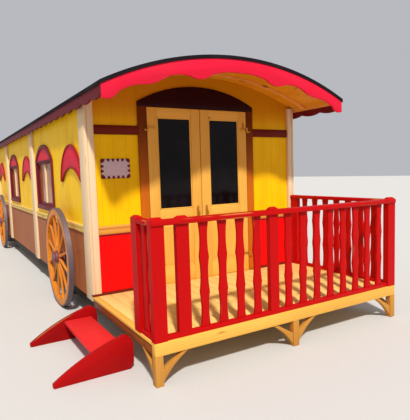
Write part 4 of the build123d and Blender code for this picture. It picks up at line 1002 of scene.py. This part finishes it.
# Porch deck: boards, screws, edge beams and joists
BOARDS = 21
BOARD_GAP = 0.006
SCREW_ROWS = (PORCH + 0.080, PORCH + 0.58, PORCH + 1.04, FRONT - 0.030)
deck_low, deck_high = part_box("deck_boards")
deck, screws = Joinery(), Joinery()
board_pitch = (deck_high.x - deck_low.x + BOARD_GAP) / BOARDS
for index in range(BOARDS):
    low = deck_low.x + index * board_pitch
    high = low + board_pitch - BOARD_GAP
    deck.board((low, deck_low.y, deck_low.z), (high, deck_high.y, deck_high.z))
    for y in SCREW_ROWS:
        for x in (low + 0.028, high - 0.028):
            screws.turned([(-0.001, 0.004), (0.0, 0.0035)], (x, y, deck_high.z), UPRIGHT, 8)
deck.piece("porch_boards", deck_pine, "pine", replaces="deck_boards")
screws.piece("porch_screws", tyre_iron, "iron")

EDGE = 0.062
EDGE_SET_IN = 0.13
DECK_BOARD = 0.027
JOIST = 0.060
JOISTS = 3
LEDGER = 0.030
DECK_DEPTH = 1.511
beams, side_beams = Joinery(), Joinery()
frame_low, frame_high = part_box("deck_frame")
ledger_y = PORCH + EDGE
beams.board((frame_low.x, PORCH, frame_low.z), (frame_high.x, ledger_y, DECK_TOP), 0.004)
for x, inner in ((frame_low.x, frame_low.x + EDGE), (frame_high.x, frame_high.x - EDGE)):
    set_in = x + (inner - x) * EDGE_SET_IN
    beams.board((x, ledger_y, DECK_TOP - DECK_BOARD), (inner, FRONT, DECK_TOP), 0.004)
    side_beams.board((set_in, ledger_y, frame_low.z), (inner, FRONT, DECK_TOP - DECK_BOARD))
joist_low, joist_high = frame_low.x + EDGE, frame_high.x - EDGE
for index in range(1, JOISTS + 1):
    y = ledger_y + (DECK_DEPTH - EDGE - JOIST) * index / JOISTS
    beams.board((joist_low, y, frame_low.z), (joist_high, y + JOIST, deck_low.z))
beams.board((joist_low, ledger_y, frame_low.z), (joist_high, ledger_y + LEDGER, deck_low.z))
beams.piece("porch_beams", door_pine, "pine", replaces="deck_frame")
side_beams.piece("porch_side_beams", beam_pine, "pine")

LEG = 0.064
BRACE = 0.042
BRACE_REACH = 0.235
BRACE_FOOT, BRACE_HEEL = 0.020, 0.124
BRACE_WIDTH = 0.052
legs = Joinery()
leg_top = frame_low.z
brace_near = PORCH + (LEG - BRACE) / 2


def brace(foot, way):
    """Outline of a knee brace, curved below, from the leg's foot out to the deck."""
    tip = foot + way * BRACE_REACH
    hollow = (foot + way * BRACE_REACH * 0.42, leg_top * 0.60)
    curve = arc((foot, BRACE_FOOT), hollow, (tip, leg_top), 12)
    return [*curve, (tip - way * BRACE_WIDTH, leg_top), (foot, BRACE_HEEL)]


for x, ways in ((MID - HALF + LEG / 2, (1,)), (MID, (-1, 1)), (MID + HALF - LEG / 2, (-1,))):
    legs.board((x - LEG / 2, PORCH, 0), (x + LEG / 2, PORCH + LEG, leg_top), 0.004)
    for way in ways:
        legs.sawn(brace(x + way * LEG / 2, way), "y", brace_near, brace_near + BRACE, along=(way, 0, 1))
for side in (-1, 1):
    x = MID + side * (HALF - LEG / 2)
    legs.sawn(brace(PORCH + LEG, 1), "x", x - BRACE / 2, x + BRACE / 2, along=(0, 1, 1))
legs.piece("porch_legs", leg_pine, "pine", replaces="deck_legs")

# Railings: posts with weathered caps, rounded handrail, balusters with scooped edges
RAIL_TOP = DECK_TOP + 0.905
RAIL_LOW = DECK_TOP + 0.037
HANDRAIL = 0.042
HANDRAIL_HALF = 0.045
BOTTOM_RAIL_HALF = 0.0225
POST_W, POST_T = 0.108, 0.062
TALL_POST_W, TALL_RISE = 0.093, 0.025
CAP_RISE = 0.019
FLUSH = 0.002
BALUSTER_WIDE, BALUSTER_NARROW, BALUSTER_T = 0.084, 0.061, 0.024
SPACES, TALL_PLACE = 13, 4
SECOND_POST, FIRST_BALUSTER = 0.211, 0.189


def rail_post(rail, low, high, top):
    """A railing post with its head weathered to a low pyramid."""
    (x1, y1), (x2, y2) = low, high
    rings = []
    for inset, z in ((0.0, DECK_TOP), (0.0, top - 0.018), (0.004, top - 0.014), (0.020, top)):
        inset_y = min(inset, (y2 - y1) * 0.4)
        ring = rectangle((x1 + inset, x2 - inset), (y1 + inset_y, y2 - inset_y))
        rings.append([Vector((x, y, z)) for x, y in ring])
    rail.skin(rings, UPRIGHT)


def baluster(rail, middle, axis, across):
    """A flat baluster, scooped out of both edges."""
    edge = scooped(RAIL_LOW, RAIL_TOP - HANDRAIL, 3, (BALUSTER_WIDE - BALUSTER_NARROW) / 2, 12)
    right = [(middle + BALUSTER_WIDE / 2 - cut, height) for height, cut in edge]
    left = [(middle - BALUSTER_WIDE / 2 + cut, height) for height, cut in reversed(edge)]
    rail.sawn(right + left, axis, across - BALUSTER_T / 2, across + BALUSTER_T / 2)


rail = Joinery()
post_run = 2 * HALF - POST_W
rail_y = PORCH + POST_T / 2
rail_left, rail_right = MID - HALF + FLUSH, MID + HALF - FLUSH
left_x, right_x = MID - post_run / 2, MID + post_run / 2
second_x = left_x + SECOND_POST
first_x = second_x + FIRST_BALUSTER
pitch = (right_x - first_x) / SPACES
for x, width, inset, rise in (
    (left_x, POST_W, 0.0, CAP_RISE),
    (right_x, POST_W, 0.0, CAP_RISE),
    (second_x, POST_W, 0.008, CAP_RISE),
    (first_x + TALL_PLACE * pitch, TALL_POST_W, 0.008, TALL_RISE),
):
    low, high = (x - width / 2, PORCH + inset), (x + width / 2, PORCH + POST_T - inset)
    rail_post(rail, low, high, RAIL_TOP + rise)
for half, bottom, top, ease in (
    (HANDRAIL_HALF, RAIL_TOP - HANDRAIL, RAIL_TOP, 0.009),
    (BOTTOM_RAIL_HALF, DECK_TOP, RAIL_LOW, 0.004),
):
    rail.board((rail_left, rail_y - half, bottom), (rail_right, rail_y + half, top), ease)
for index in range(SPACES):
    if index != TALL_PLACE:
        baluster(rail, first_x + index * pitch, "y", rail_y)
rail.piece("porch_rail_front", red, "red_paint", replaces="railing_front")

start = PORCH + POST_T
for name, side, rear_y, rise, spaces in (
    ("right", 1, FRONT, 0.0, 8),
    ("left", -1, PORCH + 0.381, CAP_RISE, 2),
):
    x = MID + side * (HALF - POST_T / 2)
    end = rear_y - FLUSH
    rail = Joinery()
    rail_post(rail, (x - POST_T / 2, rear_y - POST_W), (x + POST_T / 2, rear_y), RAIL_TOP + rise)
    outer, inner = x + side * (POST_T / 2 - FLUSH), x - side * HANDRAIL_HALF
    rail.board((outer, PORCH + 0.090, RAIL_TOP - HANDRAIL), (inner, end, RAIL_TOP - FLUSH), 0.009)
    rail.board((x - BOTTOM_RAIL_HALF, start, DECK_TOP), (x + BOTTOM_RAIL_HALF, end, RAIL_LOW), 0.004)
    for index in range(1, spaces):
        baluster(rail, start + index * (rear_y - POST_W / 2 - start) / spaces, "x", x)
    rail.piece(f"porch_rail_{name}", red, "red_paint", replaces=f"railing_{name}")

# Side steps: two swept stringers and a tread
STRINGER = 0.040
STRINGER_LENGTH, STRINGER_HEIGHT = 0.640, 0.292
TIP_HEIGHT = 0.034
steps, tread = Joinery(), Joinery()
string_low, string_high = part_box("step_stringers")
inner, tip = string_high.x, string_low.x
crest = (inner - 0.070, STRINGER_HEIGHT)
outline = [(inner, 0.060), (inner - 0.030, 0.0), (tip + 0.014, 0.0), (tip, 0.010)]
outline += arc((tip, TIP_HEIGHT), (inner - STRINGER_LENGTH * 0.46, STRINGER_HEIGHT * 0.76), crest, 20)
outline += arc(crest, (inner - 0.016, STRINGER_HEIGHT * 0.86), (inner, STRINGER_HEIGHT * 0.6), 10)[1:]
for y in (string_low.y, string_high.y - STRINGER):
    steps.sawn(outline, "y", y, y + STRINGER, 0.005, ALONG_X)
tread.board(*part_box("step_tread"), 0.006)
steps.piece("swept_stringers", step_red, "red_paint", replaces="step_stringers")
tread.piece("step_board", tread_red, "red_paint", replaces="step_tread")

# Floor, light and camera
FLOOR_REACH = 60
floor_finish = Finish("pale_floor", {})
speckle = floor_finish.noise(floor_finish.spot(), 60.0, 2.0)
floor_colour = floor_finish.blend(speckle, (198, 197, 194), (206, 205, 202))
ground = bpy.data.meshes.new("floor")
floor_corners = rectangle((-FLOOR_REACH, FLOOR_REACH), (-FLOOR_REACH, FLOOR_REACH))
ground.from_pydata([(x, y, 0) for x, y in floor_corners], [], [(0, 1, 2, 3)])
ground.materials.append(floor_finish.made(floor_colour, 0.75 + speckle * 0.1))
stand("floor", ground, Matrix())

world = bpy.data.worlds.new("studio")
world.use_nodes = True
background = world.node_tree.nodes["Background"]
background.inputs["Color"].default_value = (0.92, 0.94, 1.0, 1)
background.inputs["Strength"].default_value = 0.52
bpy.context.scene.world = world
bpy.context.scene.view_settings.view_transform = "Standard"

key = bpy.data.lights.new("key", "SUN")
key.energy = 4.0
key.angle = radians(4.0)
key.color = (1.0, 0.96, 0.90)
stand("key", key, Vector((0.36, 1.0, -1.2)).to_track_quat("-Z", "Y").to_matrix().to_4x4())

EYE = (-2.3945, -8.0765, 1.578)
YAW, PITCH, ROLL = 0.5402, -0.0866, -0.0309
aim = Matrix.Rotation(-YAW, 4, "Z") @ Matrix.Rotation(pi / 2 + PITCH, 4, "X") @ Matrix.Rotation(ROLL, 4, "Z")
view = bpy.data.cameras.new("view")
view.sensor_fit = "HORIZONTAL"
view.sensor_width = 36.0
view.lens = 38.66
bpy.context.scene.camera = stand("view", view, Matrix.Translation(EYE) @ aim)
